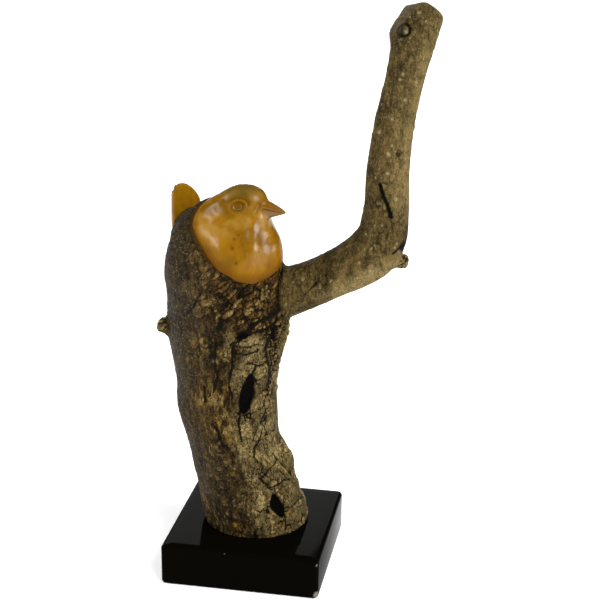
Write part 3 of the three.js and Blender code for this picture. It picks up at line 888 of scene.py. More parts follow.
def stem_patterns(unrolled, angle, wobble, sway):
    """Patterns over the unrolled stem, pushed about by two mists.

    Ridges, plates, chips, pebbles and slanted scales are scattered cells: a tone for each, how it leans, and
    the cracks between. Furrows, fissures and wrinkles are lines where a stretched mist passes through 0.
    Cracks open in patches.
    """
    height = unrolled[:, 2]
    warp = np.column_stack([wobble, sway, wobble * sway])
    bent = unrolled + 2.0 * warp
    torn = unrolled + 3.4 * warp
    patchy = smooth_step(-0.35, 0.4, mist(unrolled, 9, 31))
    arc = arc_between(angle, -60)
    along, across = arc * 0.8 + height * 0.6, height * 0.8 - arc * 0.6
    slanted = np.column_stack([along * 0.34, across, 0 * arc])
    slanted = slanted + 1.8 * np.column_stack([wobble, sway, 0 * arc])

    ridge_crack, ridge_away, ridge_number = flakes(bent * (1, 1, 0.36), 3.0, 0.03, 0.25, 1)
    plate_crack, plate_away, plate_number = flakes(torn * (1, 1, 0.85), 8.5, 0.012, 0.075, 2)
    chip_crack, _, chip_number = flakes(torn * (1, 1, 0.9), 3.1, 0.02, 0.2, 6)
    pebble_crack, _, pebble_number = flakes(bent, 2.2, 0.04, 0.3, 7)
    scale_crack, scale_away, scale_number = flakes(slanted, 2.8, 0.04, 0.26, 9)
    furrow = 1 - smooth_step(0.0, 0.2, np.abs(mist(torn * (1, 1, 0.25), 7, 4)))
    fissure = 1 - smooth_step(0.0, 0.26, np.abs(mist(torn * (1, 1, 0.34), 3.4, 14)))
    wrinkle = 1 - smooth_step(0.0, 0.3, np.abs(mist(bent * (0.3, 0.3, 1), 2.6, 12)))
    return {
        "ridge_tone": ridge_number - 0.5,
        "ridge_tilt": ridge_away[:, 2],
        "ridge_crack": ridge_crack * (0.25 + 0.75 * patchy),
        "plate_tone": plate_number - 0.5,
        "plate_tilt": plate_away[:, 2],
        "plate_crack": plate_crack * patchy,
        "chip_tone": chip_number - 0.5,
        "chip_crack": chip_crack,
        "chipped": chip_crack * (plate_number > 0.3),
        "pebble_tone": pebble_number - 0.5,
        "pebble_crack": pebble_crack,
        "scale_tone": scale_number - 0.5,
        "scale_tilt": scale_away[:, 1],
        "scale_crack": scale_crack,
        "furrow": furrow * (0.35 + 0.65 * patchy),
        "fissure": fissure,
        "patchy_fissure": fissure * patchy,
        "wrinkle": wrinkle,
    }


def stem_form(angle, height, unrolled):
    """Large relief of the stem in millimetres, and its crack and hollow masks.

    Lumps, the fold with its lip and the drawn cracks are bells of distance, the cracks wider and narrower by
    a mist. Each hole is a step down inside an ellipse that leans and narrows upward, with a raised lip. All
    but the lumps read an angle and height already bent by mists.
    """
    form = 0.6 * layered_mist(unrolled, 20, 2, 9)
    unbent = angle_round(unrolled)
    for lump_angle, lump_height, spread, depth in LUMPS:
        near = np.hypot(arc_between(unbent, lump_angle), unrolled[:, 2] - lump_height)
        form += depth * bell(near, spread)
    fold = line_distance(angle, height, FOLD)
    lip = line_distance(angle, height, FOLD_LIP)
    form += 1.0 * bell(lip - 2.6, 1.8) - 3.4 * bell(fold, 3.0) - 1.3 * bell(lip, 1.1)
    crack = 0.7 * bell(fold, 1.7) + 0.7 * bell(lip, 0.9)
    opening = 0.85 + 0.5 * mist(unrolled, 4, 33)
    for half_width, depth, line in CRACKS:
        near = line_distance(angle, height, line) / opening
        form -= depth * bell(near, half_width)
        crack += bell(near, half_width * 0.7)
    hollow = np.zeros(len(height))
    for hole_angle, hole_height, half_width, half_height, depth, lean in HOLES:
        up = height - hole_height
        sideways = arc_between(angle, hole_angle) - lean * up
        narrow = half_width * (1 - 0.35 * np.clip(up / half_height, 0, 1))
        reach = np.hypot(sideways / narrow, up / half_height)
        form += 0.7 * bell(reach - 1.35, 0.3) - depth * (1 - smooth_step(0.8, 1.08, reach))
        hollow = np.maximum(hollow, 1 - smooth_step(0.98, 1.14, reach))
    return form, crack, hollow


def stem_bark(points, scale):
    """Height of the stem's bark in millimetres and the masks that colour it.

    In each zone the patterns are added by the zone's depths, and the zone's darkest crack counts. Lichen,
    ochre crusts and rust are bells and steps over the same zones and patterns.
    """
    height = points[:, 2]
    x, y, radius = stem_section(height)
    unrolled = np.column_stack([points[:, 0] - x, points[:, 1] - y, height])
    angle = angle_round(unrolled)
    wobble = layered_mist(unrolled, 8, 3, 3)
    sway = layered_mist(unrolled, 8, 3, 8)
    edge = angle + 20 * layered_mist(unrolled, 15, 2, 2)
    bent_angle = angle + wobble * 2.4
    bent_height = height + sway * 1.6
    zones = stem_zones(angle, edge, height)
    patterns = stem_patterns(unrolled, angle, wobble, sway)

    form, crack, hollow = stem_form(bent_angle, bent_height, unrolled)
    detail = np.zeros(len(points))
    for zone, depths in DEPTHS.items():
        detail += zones[zone] * sum(depth * patterns[name] for name, depth in depths.items())
    detail = BARK_DEPTH * detail + GRIT_DEPTH * layered_mist(unrolled, 2.4, 2, 5)
    for zone, shares in CRACK_SHARES.items():
        crack += zones[zone] * np.max([share * patterns[name] for name, share in shares.items()], axis=0)
    crack += zones["smooth"] * (0.2 * patterns["chip_crack"] + 0.35 * patterns["patchy_fissure"])

    lichen = np.zeros(len(points))
    for spot_angle, spot_height, spread in LICHEN_SPOTS:
        near = np.hypot(arc_between(bent_angle, spot_angle), bent_height - spot_height)
        lichen = np.maximum(lichen, bell(near, spread))
    lichen = 0.75 * lichen * (patterns["pebble_tone"] > -0.1)
    ochre = bell(angle_between(edge, -106), 16) * smooth_step(52, 66, height)
    ochre *= 1 - smooth_step(108, 124, height)
    ochre *= 1.2 * patterns["ridge_crack"] * (1 - patterns["ridge_crack"])
    pale = zones["plated"] * (0.73 + 0.5 * patterns["plate_tone"] + 0.25 * smooth_step(96, 124, height))
    pale += 0.4 * zones["scaly"] * (patterns["scale_tone"] > 0.22)
    pale += 0.35 * zones["front"] * (patterns["ridge_tone"] > 0.15)
    pale += 0.15 * zones["pebbly"] * (patterns["chip_tone"] > 0.2)
    rust = zones["strip"] + 0.7 * bell(hollow - 0.5, 0.4)
    rust += 0.35 * zones["front"] * (patterns["ridge_tone"] > 0.2) + 0.6 * zones["scaly"]
    masks = {
        # Tone: the bark's relief height, so higher places come out lighter and lower ones darker, partly as
        # painted highlight and shade
        "tone": np.clip(0.5 + 0.5 * detail, 0, 1),
        # Crack: where the bark is painted near-black, partly its own dark and partly painted shade
        "crack": np.clip(crack, 0, 1),
        # Hollow: inside the holes, painted near-black as shade
        "hollow": hollow,
        "pale": np.clip(pale, 0, 1),
        "smooth": np.clip(zones["smooth"] + 0.45 * zones["pebbly"], 0, 1),
        "lichen": np.maximum(lichen, ochre),
        "rust": np.clip(rust, 0, 1),
    }
    return (form + detail) * smooth_step(0, 24, radius) * scale, masks


def limb_marks(points, wobble):
    """Relief of the limb's drawn marks and their crack, hollow and fleck masks.

    The slit, the tears and the pruned knot are bells of distance: to a line, or to the knot's middle for its
    collar and groove. The knot's flat face has a split across it, and pale crumbs sit where SPECKS says.
    """
    opened = bell(cone_distance(points, SLIT[0], SLIT[1], 0, 0), SLIT[2])
    torn = np.zeros(len(points))
    for start, end, half_width in TEARS:
        torn = np.maximum(torn, bell(cone_distance(points, start, end, 0, 0), half_width))
    speck = np.zeros(len(points))
    for place in SPECKS:
        near = np.linalg.norm(points - np.array(place), axis=1) + 0.6 * wobble
        speck = np.maximum(speck, 1 - smooth_step(0.7, 1.3, near))
    knot = np.linalg.norm(points - np.array(KNOT_CENTRE), axis=1)
    collar = bell(knot - KNOT_COLLAR[0], KNOT_COLLAR[1])
    groove = bell(knot - KNOT_GROOVE[0], KNOT_GROOVE[1])
    face = 1 - smooth_step(*KNOT_FACE, knot)
    split = face * bell(points[:, 2] - KNOT_CENTRE[2] - 0.8 + 0.3 * wobble, 0.55)
    form = 0.9 * collar - 3.2 * opened - 3.4 * torn - 1.8 * groove - 0.5 * face - 0.8 * split
    hollow = np.clip(opened * 1.6 - 0.4 + torn + 0.5 * groove, 0, 1)
    return form, opened + torn + groove + split, hollow, np.maximum(speck, 1.2 * face)


def limb_bark(points, scale):
    """Height of the limb's bark in millimetres and its masks.

    Faint lumps, fine chips, fissures and freckles, under the drawn marks. The bark is paler to the right of
    the upright part and under the lower part, by steps over the distance from the limb's middle: painted
    light, the lit right side and the underside lit from below.
    """
    freckle_crack, _, freckle = flakes(points, 2.4, 0.3, 0.55, 12)
    wobble = layered_mist(points, 6, 2, 13)
    bent = points + 1.6 * wobble[:, None]
    chip_crack, _, chip_number = flakes(bent * (1, 1, 0.8), 3.6, 0.02, 0.22, 14)
    patchy = smooth_step(-0.3, 0.4, mist(points, 10, 17))
    fissure = 1 - smooth_step(0, 0.24, np.abs(mist(bent * (1, 1, 0.3), 4.2, 19)))
    detail = 0.35 * layered_mist(points, 5, 3, 21) + 0.35 * layered_mist(points, 2.2, 2, 25)
    detail += 0.3 * (chip_number - 0.5) - 0.3 * chip_crack * patchy - 0.3 * fissure * patchy
    marks, crack, hollow, fleck = limb_marks(points, wobble)
    form = 0.5 * layered_mist(points, 16, 2, 27) + marks

    ringed = bell(points[:, 0] + 2 * wobble - STAIN[0], STAIN[1]) * (points[:, 2] < STAIN[2])
    centres, _ = limb_line()
    middle = np.interp(points[:, 2], centres[:, 2], centres[:, 0])
    # Painted light: sunny is the lit right side of the upright part, under is the underside of the lower part
    # lit from below
    sunny = smooth_step(-9, 13, points[:, 0] - middle + 4 * wobble)
    sunny *= smooth_step(196, 225, points[:, 2]) * (1 - 0.6 * smooth_step(300, 325, points[:, 2]))
    drop = np.interp(points[:, 0], centres[:, 0], centres[:, 2]) - points[:, 2]
    under = smooth_step(-5, 9, drop + 3 * wobble) * smooth_step(34, 50, points[:, 0])
    under *= 1 - smooth_step(174, 192, points[:, 2] + 3 * wobble)
    crack = crack + (0.25 * chip_crack + 0.3 * fissure) * patchy + 0.2 * ringed
    masks = {
        "tone": np.clip(0.48 + 0.5 * detail - 0.25 * ringed + 0.18 * sunny + 0.3 * under, 0, 1),
        "crack": np.clip(crack, 0, 1),
        "hollow": hollow,
        "pale": np.clip(0.42 * sunny + 0.65 * under, 0, 1),
        "smooth": 0.2 * (1 - ringed),
        "lichen": np.zeros(len(points)),
        "fleck": np.maximum((freckle > 0.95) * (1 - freckle_crack), fleck),
        "rust": np.full(len(points), 0.12),
    }
    return (form + detail) * scale, masks


def raise_bark(name, rings, stems_side, settings):
    """Skin of rings settled on the branch's distance, then raised by the bark along its own normals.

    Where stem and limb run into each other, each skin sinks under the other past the line where they are
    equal. The relief fades near the bird and at the foot, rises as a lip over the bird's wood and sinks where
    the bark is peeled or cut.
    """
    points, faces = skin_of_rings(rings)
    points, outward = settle(points, branch_distance, 4)
    to_limb = limb_distance(points)
    on_limb = smooth_step(-2.0, 3.0, stem_distance(points) - to_limb)
    hidden = smooth_step(0.5, 1.0, on_limb if stems_side else 1 - on_limb)
    stem_relief, stem_masks = stem_bark(points, settings.relief)
    limb_relief, limb_masks = limb_bark(points, settings.relief)
    relief = stem_relief * (1 - on_limb) + limb_relief * on_limb

    to_bird = bird_distance(points)
    ragged = to_bird + 0.5 * layered_mist(points, 5, 3, 41)
    over_rim = above_rim(points) + 0.8 * mist(points, 5, 43)
    bare = smooth_step(-0.4, 0.4, over_rim)
    bare = bare * (1 - smooth_step(BARK_THICKNESS - 0.35, BARK_THICKNESS + 0.35, ragged))
    cut = np.zeros(len(points))
    for point, facing, _ in TOP_CUTS:
        unit = np.array(facing) / np.linalg.norm(facing)
        flat = smooth_step(1.2, 0.5, np.abs((points - np.array(point)) @ unit))
        flat *= smooth_step(0.75, 0.9, outward @ unit)
        cut = np.maximum(cut, flat * (points[:, 2] > TOP_CUTS_FROM))
    relief *= 0.3 + 0.7 * smooth_step(1.5, 7, to_bird)
    relief = np.maximum(relief, np.clip(RIM_LIP - to_bird, 0, 4))
    relief = relief * (1 - bare) * (1 - 0.7 * cut) - BARK_THICKNESS * bare - 1.5 * hidden
    relief *= smooth_step(-1, 3, points[:, 2])
    made = object_of(name, points, faces)
    place_points(made.data, to_world(points + outward * relief[:, None]))
    for mask in limb_masks:
        measure(made.data, mask, stem_masks.get(mask, 0) * (1 - on_limb) + limb_masks[mask] * on_limb)
    measure(made.data, "bare", bare)
    measure(made.data, "cut", cut)
    measure(made.data, "on_limb", on_limb)
    return made


def stub_rings(stub):
    """Rings of a tapered twig stub with a rounded end."""
    start, end, thick, thin = stub
    share = np.linspace(0, 1, 24)
    centres = np.array(start) + share[:, None] * np.subtract(end, start)
    radii = thick + (thin - thick) * share
    lift = np.linspace(0, math.pi / 2, 9)[1:-1]
    way = np.subtract(end, start) / np.linalg.norm(np.subtract(end, start))
    cap = np.array(end) + np.sin(lift)[:, None] * thin * STUB_DOME * way
    centres = np.vstack([centres, cap])
    radii = np.concatenate([radii, thin * np.cos(lift)])
    return tube_rings(centres, radii, np.linspace(0, 2 * math.pi, 48, endpoint=False))


def raise_stub(name, stub, settings):
    """Skin of a stub with crusty relief, tone and lichen masks."""
    points, faces = skin_of_rings(stub_rings(stub))
    made = object_of(name, points, faces)
    crack, _, number = flakes(points, 2.4, 0.05, 0.3, 71)
    relief = 0.4 * layered_mist(points, 4, 3, 73) + 0.3 * (number - 0.5) - 0.4 * crack
    normals = np.empty(len(points) * 3, np.float32)
    made.data.vertices.foreach_get("normal", normals)
    place_points(made.data, to_world(points + normals.reshape(-1, 3) * relief[:, None] * settings.relief))
    end = np.linalg.norm(points - np.array(stub[1]), axis=1)
    measure(made.data, "tone", np.clip(0.8 + relief, 0, 1))
    measure(made.data, "crack", 0.6 * crack)
    measure(made.data, "pale", np.full(len(points), 0.9))
    measure(made.data, "lichen", 0.35 * (1 - smooth_step(2, 7, end)) * (number > 0.3))
    for mask in ("smooth", "hollow", "rust", "bare", "cut", "on_limb", "fleck"):
        measure(made.data, mask, np.full(len(points), 0.0))
    return made


# Bird and tail


def dark_knots(points):
    """1 in the middle of each pin knot of the breast, falling off as a bell."""
    dark = np.zeros(len(points))
    for x, y, z, spread in PIN_KNOTS:
        dark = np.maximum(dark, bell(np.linalg.norm(points - (x, y, z), axis=1), spread))
    return dark


def creases(points):
    """Depth of creases and broad hollows, bells of the distance to short lines, and where the narrow creases
    are, for painted shade.
    """
    depth, narrow = np.zeros((2, len(points)))
    for half_width, deep, line in CREASES:
        near = np.full(len(points), FAR_AWAY)
        for start, end in zip(line[:-1], line[1:]):
            near = np.minimum(near, cone_distance(points, start, end, 0, 0))
        depth += deep * bell(near, half_width)
        if half_width < CREASE_WIDEST:
            narrow = np.maximum(narrow, bell(near, half_width))
    return depth, narrow


def knife_marks(points):
    """Shallow flats left by a knife: heights of scattered cells, each leaning its own way."""
    _, away, _ = cells(points * (1, 1, 0.7), 8, 51)
    flat = np.sum(away**2, axis=1)
    return 0.35 * np.minimum(flat, 0.35) + 0.22 * mist(points, 7, 53) + 0.06 * layered_mist(points, 3, 2, 55)


def wren_skin(settings):
    """Body, head and bill: one skin settled on the bird's distance, with shallow knife marks."""
    eggs = (HEAD, FOREHEAD, NECK, BREAST_RIGHT, BREAST_LEFT)
    made = one_skin("carved_wren", [egg_rings(egg) for egg in eggs] + [bill_rings()], WREN_VOXEL)
    mesh = made.data
    points, outward = settle(mesh_points(mesh), bird_distance)
    to_bill = bill_distance(points)
    hollows, crease_shade = creases(points)
    marks = knife_marks(points) * smooth_step(-1, 4, to_bill) - hollows
    gape = gape_groove(points) * (1 - smooth_step(0.2, 1.2, to_bill))
    place_points(mesh, to_world(points + outward * ((marks - gape) * settings.carving)[:, None]))
    height = points[:, 2]
    masks = {
        "above_rim": above_rim(points),
        "gape": gape,
        # Pin knots, and the narrow creases darkened as painted shade
        "knot_and_crease_shade": np.maximum(dark_knots(points), 0.55 * crease_shade),
        "beak": 1 - smooth_step(-0.5, 2.5, to_bill),
        # Upper head patches that are painted highlights
        "painted_head_highlight": smooth_step(196, 206, height) * smooth_step(-0.3, 0.3, mist(points, 5, 59)),
        # Crown: top of the head, darkened as its painted dull reflection and shade
        "crown": smooth_step(219, 227, height + 1.5 * mist(points, 6, 57)),
    }
    for name, values in masks.items():
        measure(mesh, name, values)
    return made


def gape_groove(points):
    """Line between the two halves of the bill: a bell of the distance from the bill's middle plane."""
    local = (points - np.array(BILL_TIP)) @ axes_of(BILL_HEADING, BILL_DIP).T
    along = smooth_step(0.5, 3, -local[:, 0])
    return 0.45 * bell(local[:, 2] + 0.06 * local[:, 0], 0.5) * along


def eye_place(side):
    """Point where a ray from the middle of the head leaves it, found by walking the distance."""
    turn = math.radians(HEAD[2] + side * EYE_ROUND)
    lift = math.radians(EYE_LIFT)
    ray = np.array([math.cos(turn) * math.cos(lift), math.sin(turn) * math.cos(lift), math.sin(lift)])
    place = np.array([HEAD[0]], float)
    for _ in range(EYE_WALK):
        place = place - ray * bird_distance(place)[:, None]
    return place


def eye_skin(side):
    """Disc on the head's own surface: a dome, a groove and a ring as heights over distance from its middle.

    Gives its points and faces, each point's distance from the middle and how far it lies to the lower front,
    where the eye's groove is painted darker as shade.
    """
    centre, outward = settle(eye_place(side), bird_distance)
    up = np.cross(outward[0], np.cross((0, 0, 1), outward[0]))
    up /= np.linalg.norm(up)
    across = np.cross(up, outward[0])
    turn = np.linspace(0, 2 * math.pi, 48, endpoint=False)
    reach = np.linspace(EYE_PATCH, 0.15, 30)
    around = np.outer(np.cos(turn), across) + np.outer(np.sin(turn), up * EYE_FLATNESS)
    flat = centre[0] + reach[:, None, None] * around
    on_head, facing = settle(flat.reshape(-1, 3), bird_distance)
    spread = np.repeat(reach, len(turn))
    dome = EYE_BULGE * np.sqrt(np.clip(1 - (spread / EYE_RADIUS) ** 2, 0, 1))
    ring = 0.3 * bell(spread - EYE_RING, 1.0)
    groove = -0.7 * bell(spread - EYE_RADIUS, 0.6)
    edge = -0.5 * smooth_step(EYE_RING + 0.8, EYE_PATCH, spread)
    raised = on_head + facing * (dome + ring + groove + edge + EYE_LIFTED)[:, None]
    back = on_head[: len(turn)] - facing[: len(turn)] * EYE_DEPTH
    points, faces = skin_of_rings(np.vstack([back, raised]).reshape(-1, len(turn), 3))
    spread = np.concatenate([np.full(len(turn), EYE_PATCH), spread, [EYE_PATCH, 0]])
    # Share towards the lower front, where the groove is painted darker as shade
    lower = smooth_step(-0.5, 0.9, -0.7 * side * np.cos(turn) - 0.7 * np.sin(turn))
    lower = np.append(np.tile(lower, len(reach) + 1), (0.5, 0.5))
    return points, faces, spread, lower


def tail_piece():
    """Paddle of the tail, one skin settled on its distance, with faint upright tool marks."""
    made = one_skin("carved_tail", [tail_rings()], TAIL_VOXEL)
    points, outward = settle(mesh_points(made.data), tail_distance)
    marks = 0.12 * layered_mist(points * (1, 1, 0.2), 2.5, 2, 61)
    place_points(made.data, to_world(points + outward * marks[:, None]))
    return made


# Materials


class Signal:
    """One number or colour that varies over a surface; arithmetic on it adds Math nodes."""

    def __init__(self, recipe, socket):
        self.recipe = recipe
        self.socket = socket

    def _math(self, operation, first, second=None):
        inputs = {0: first} if second is None else {0: first, 1: second}
        return self.recipe.node("ShaderNodeMath", {"operation": operation}, inputs)

    def __add__(self, other):
        return self._math("ADD", self, other)

    def __sub__(self, other):
        return self._math("SUBTRACT", self, other)

    def __rsub__(self, other):
        return self._math("SUBTRACT", other, self)

    def __mul__(self, other):
        return self._math("MULTIPLY", self, other)

    def __abs__(self):
        return self._math("ABSOLUTE", self)

    __radd__ = __add__
    __rmul__ = __mul__

    def over(self, low, high):
        """0 below low and 1 above high, with a smooth ramp between."""
        return self.recipe.node(
            "ShaderNodeMapRange",
            {"interpolation_type": "SMOOTHSTEP"},
            {"Value": self, "From Min": low, "From Max": high},
        )


class Recipe:
    """Node tree of one finish."""

    def __init__(self, name):
        self.material = bpy.data.materials.new(name)
        self.material.use_nodes = True
        self.tree = self.material.node_tree
        self.tree.nodes.clear()

    def node(self, kind, settings=None, inputs=None, output=0):
        """Adds a node: its settings first, then the value or link of each named socket."""
        made = self.tree.nodes.new(kind)
        for name, value in (settings or {}).items():
            setattr(made, name, value)
        for name, value in (inputs or {}).items():
            if isinstance(value, Signal):
                self.tree.links.new(value.socket, made.inputs[name])
            else:
                made.inputs[name].default_value = value
        return Signal(self, made.outputs[output]) if made.outputs else None

    def vector_math(self, operation, inputs, output=0):
        """Vector Math node."""
        return self.node("ShaderNodeVectorMath", {"operation": operation}, inputs, output)

    def place(self, scale=(1, 1, 1)):
        """Object coordinates, stretched along each axis."""
        coordinates = self.node("ShaderNodeTexCoord", output=3)
        return self.vector_math("MULTIPLY", {0: coordinates, 1: scale})

    def bent(self, shift, scale):
        """Object coordinates stretched along each axis, pushed about by a noise."""
        return self.vector_math("MULTIPLY_ADD", {0: shift, 1: NOISE_SHIFT, 2: self.place(scale)})

    def measured(self, name):
        """Number kept with the mesh's vertices."""
        return self.node("ShaderNodeAttribute", {"attribute_name": name}, output=2)

    def noise(self, vector, scale, detail=4.0, roughness=0.6):
        """Noise between 0 and 1."""
        inputs = {"Vector": vector, "Scale": scale, "Detail": detail, "Roughness": roughness}
        return self.node("ShaderNodeTexNoise", {}, inputs)

    def colour_noise(self, vector, scale):
        """Noise in three directions."""
        inputs = {"Vector": vector, "Scale": scale, "Detail": 2.0}
        return self.node("ShaderNodeTexNoise", {}, inputs, output=1)

    def cracks(self, vector, scale):
        """Distance to the nearest edge of scattered cells."""
        inputs = {"Vector": vector, "Scale": scale}
        return self.node("ShaderNodeTexVoronoi", {"feature": "DISTANCE_TO_EDGE"}, inputs)

    def cell_tone(self, vector, scale):
        """Random tone for each of the same scattered cells."""
        inputs = {"Vector": vector, "Scale": scale}
        return self.node("ShaderNodeTexVoronoi", {"feature": "F1"}, inputs, output=1)

    def mix(self, share, first, second, blend="MIX"):
        """Colour between two, by a share from 0 to 1."""
        settings = {"data_type": "RGBA", "blend_type": blend}
        return self.node("ShaderNodeMix", settings, {0: share, 6: first, 7: second}, output=2)

    def tones(self, share, colour, dark, light):
        """Colour between a darker and a lighter strength of itself, by a share from 0 to 1."""
        return self.mix(share, with_alpha(colour, dark), with_alpha(colour, light))

    def paint(self, colour, layers):
        """Colours laid over one another: each layer has a share, a colour and its strength."""
        for share, tint, strength in layers:
            colour = self.mix(share, colour, with_alpha(tint, strength))
        return colour

    def bump(self, height, strength, distance):
        """Normal tilted by a height."""
        inputs = {"Height": height, "Strength": strength, "Distance": distance}
        return self.node("ShaderNodeBump", {}, inputs)

    def surface(self, inputs):
        """Principled shader with these sockets, joined to the output."""
        shader = self.node("ShaderNodeBsdfPrincipled", {}, inputs)
        self.node("ShaderNodeOutputMaterial", {}, {"Surface": shader})
        return self.material


def with_alpha(colour, strength=1.0):
    """Colour as four numbers, made lighter or darker."""
    return tuple(part * strength for part in colour) + (1.0,)


def bark_finish(settings):
    """Near-black in its cracks, partly the bark's own dark and partly painted shade, and in its hollows as
    painted shade; brown between; pale on its tips, partly as painted highlight, and on dry plates; paler on
    the limb's lit side and underside as painted light; with lichen and rust.
    """
    recipe = Recipe("weathered_bark")
    place = recipe.place()
    fine = recipe.noise(place, 850.0, 5.0, 0.7)
    blotch = recipe.noise(place, 75.0, 4.0, 0.6)
    patches = recipe.noise(place, 130.0, 2.0, 0.5).over(0.42, 0.56)
    flecks = recipe.noise(place, 420.0, 3.0, 0.6)
    streaks = recipe.noise(recipe.place((1, 1, 0.3)), 650.0, 4.0, 0.65)
    shift = recipe.colour_noise(place, 260.0)
    bent = recipe.bent(shift, (1, 1, 0.6))
    coarse_lines = 1 - recipe.cracks(bent, 340.0).over(0.0, 0.1)
    fine_lines = 1 - recipe.cracks(bent, 720.0).over(0.0, 0.17)
    coarse_tone = recipe.cell_tone(bent, 340.0) - 0.5
    fine_tone = recipe.cell_tone(bent, 720.0) - 0.5
    winding = recipe.noise(recipe.bent(shift, (1, 1, 0.32)), 230.0, 3.0, 0.55)
    fissures = 1 - abs(winding - 0.5).over(0.0, 0.03)
    tone = recipe.measured("tone")
    pale = recipe.measured("pale")
    smooth = recipe.measured("smooth")
    on_limb = recipe.measured("on_limb")
    crumbs = recipe.noise(place, 780.0, 2.0, 0.5).over(0.6, 0.66)

    rough = (1 - on_limb * 0.45) * (1 - smooth * 0.4)
    # Crack lines, painted near-black: partly the bark's own dark, partly painted shade
    lines = coarse_lines * patches * 0.8 + fine_lines * 0.4 + fissures * (1 - patches) * 0.85
    lines = lines * rough
    # Lit and shade: relief height and random tones, so higher bark is lighter and lower darker, partly as
    # painted highlight and shade; on the limb it also carries the painted light of its lit side and underside
    lit = tone * 0.8 + fine * 0.45 + streaks * 0.3 + coarse_tone * 0.2 + fine_tone * 0.16 - 0.2
    lit = lit + (streaks - 0.5) * on_limb * 0.5
    shade = lit.over(0.28, 0.86)
    colour = recipe.tones(shade, settings.dark, 0.34, 2.25)
    colour = recipe.mix(lit.over(0.6, 0.85) * 0.6, colour, with_alpha(settings.pale))
    hue = recipe.mix(blotch.over(0.35, 0.65), with_alpha(settings.warm), with_alpha(settings.olive))
    colour = recipe.mix(0.5, colour, hue, "SOFT_LIGHT")
    colour = recipe.mix(smooth * 0.9, colour, recipe.tones(shade, settings.smooth, 0.35, 1.65))
    colour = recipe.mix(on_limb * 0.9, colour, recipe.tones(shade, settings.limb, 0.55, 2.05))
    # Pale: dry plates and tips on the stem; on the limb, the painted light of its lit side and underside
    colour = recipe.mix(pale * 0.9, colour, recipe.tones(shade, settings.pale, 0.62, 1.3))
    crumbs = crumbs * (0.35 + patches * 0.65) * (0.16 + smooth * 0.18 + on_limb * 0.1)
    layers = (
        (lines, settings.crack, 1.0),
        (crumbs, settings.fleck, 1.0),
        (recipe.measured("rust") * flecks.over(0.48, 0.6) * 0.6, settings.rust, 1.0),
        (recipe.measured("fleck") * fine.over(0.3, 0.5) * 0.7, settings.fleck, 1.0),
        (recipe.measured("lichen") * fine.over(0.42, 0.54), settings.lichen, 1.0),
        # Drawn cracks, folds and marks darkened, partly the bark's own dark and partly painted shade
        (recipe.measured("crack").over(0.2, 0.75) * 0.95, settings.crack, 0.35),
        (recipe.measured("cut") * streaks.over(0.3, 0.7) * 0.2, settings.fleck, 1.0),
        (recipe.measured("bare"), settings.inner_wood, 1.0),
        # Painted shade: near-black inside the holes, slit, tears and knot groove
        (recipe.measured("hollow"), settings.crack, 0.06),
    )
    colour = recipe.paint(colour, layers)
    height = lit - lines * 0.5
    return recipe.surface(
        {
            "Base Color": colour,
            "Roughness": 0.75 + fine * 0.2 - smooth * 0.3,
            "Normal": recipe.bump(height, 1.0, 0.003),
            "Specular IOR Level": 0.08,
        }
    )


def wood_finish(settings, rim=True):
    """Waxed amber wood: growth rings round the stem's axis and fine grain.

    With rim, the bird's masks add a darker lower rim, paler patches painted as highlights, a dark crown
    painted as the dull reflection and shade on the top of the head, a darker bill, a gape line and narrow
    creases darkened as painted shade, and pin knots.
    """
    recipe = Recipe("waxed_amber_wood" if rim else "waxed_tail_wood")
    place = recipe.place()
    warp = recipe.noise(recipe.place((1, 1, 0.4)), 55.0, 3.0, 0.55)
    centred = recipe.vector_math("SUBTRACT", {0: recipe.place((1, 1, 0)), 1: settings.ring_centre})
    reach = recipe.vector_math("LENGTH", {0: centred}, output=1)
    wave = (reach + warp * RING_WARP) * RINGS_PER_METRE
    rings = recipe.node("ShaderNodeMath", {"operation": "SINE"}, {0: wave})
    streaks = recipe.noise(recipe.place((1, 1, 0.12)), 900.0, 3.0, 0.6)
    blotch = recipe.noise(place, 60.0, 3.0, 0.5)
    russet = recipe.noise(recipe.place((1, 1, 0.5)), 95.0, 3.0, 0.5)
    layers = [
        (russet.over(0.5, 0.75) * 0.45, settings.rim, 1.6),
        (rings.over(0.6, 1.0) * russet.over(0.4, 0.6) * 0.3, settings.grain, 1.0),
        (streaks.over(0.52, 0.72) * 0.5, settings.grain, 1.2),
    ]
    gloss = 0.3 + blotch * 0.1
    if rim:
        above = recipe.measured("above_rim")
        gloss = 0.03 + above.over(5.0, 20.0) * (0.6 + blotch * 0.6)
        layers += [
            ((1 - above.over(0.2, 8.0)) * 0.9, settings.rim, 0.9),
            # Painted highlights: paler patches on the upper head
            (recipe.measured("painted_head_highlight") * blotch.over(0.4, 0.6) * 0.6, settings.painted_head_highlight, 1.0),
            # Painted dull reflection and shade on the top of the head
            (recipe.measured("crown") * 0.75, settings.crown, 1.0),
            (recipe.measured("beak") * 0.6, settings.rim, 1.0),
            # Painted shade in the gape groove between the bill's halves
            (recipe.measured("gape").over(0.1, 0.4) * 0.8, settings.rim, 0.4),
            # Pin knots, and painted shade in the narrow creases
            (recipe.measured("knot_and_crease_shade") * 0.85, settings.rim, 0.5),
        ]
    wood = recipe.tones(blotch.over(0.34, 0.66), settings.amber, 0.7, 1.18)
    height = streaks * 0.6 + rings * 0.08
    return recipe.surface(
        {
            "Base Color": recipe.paint(wood, layers),
            "Roughness": 0.24 + streaks * 0.12,
            "Normal": recipe.bump(height, 0.14, 0.0004),
            "Specular IOR Level": 0.02,
            "Coat Weight": gloss,
            "Coat Roughness": 0.2,
        }
    )


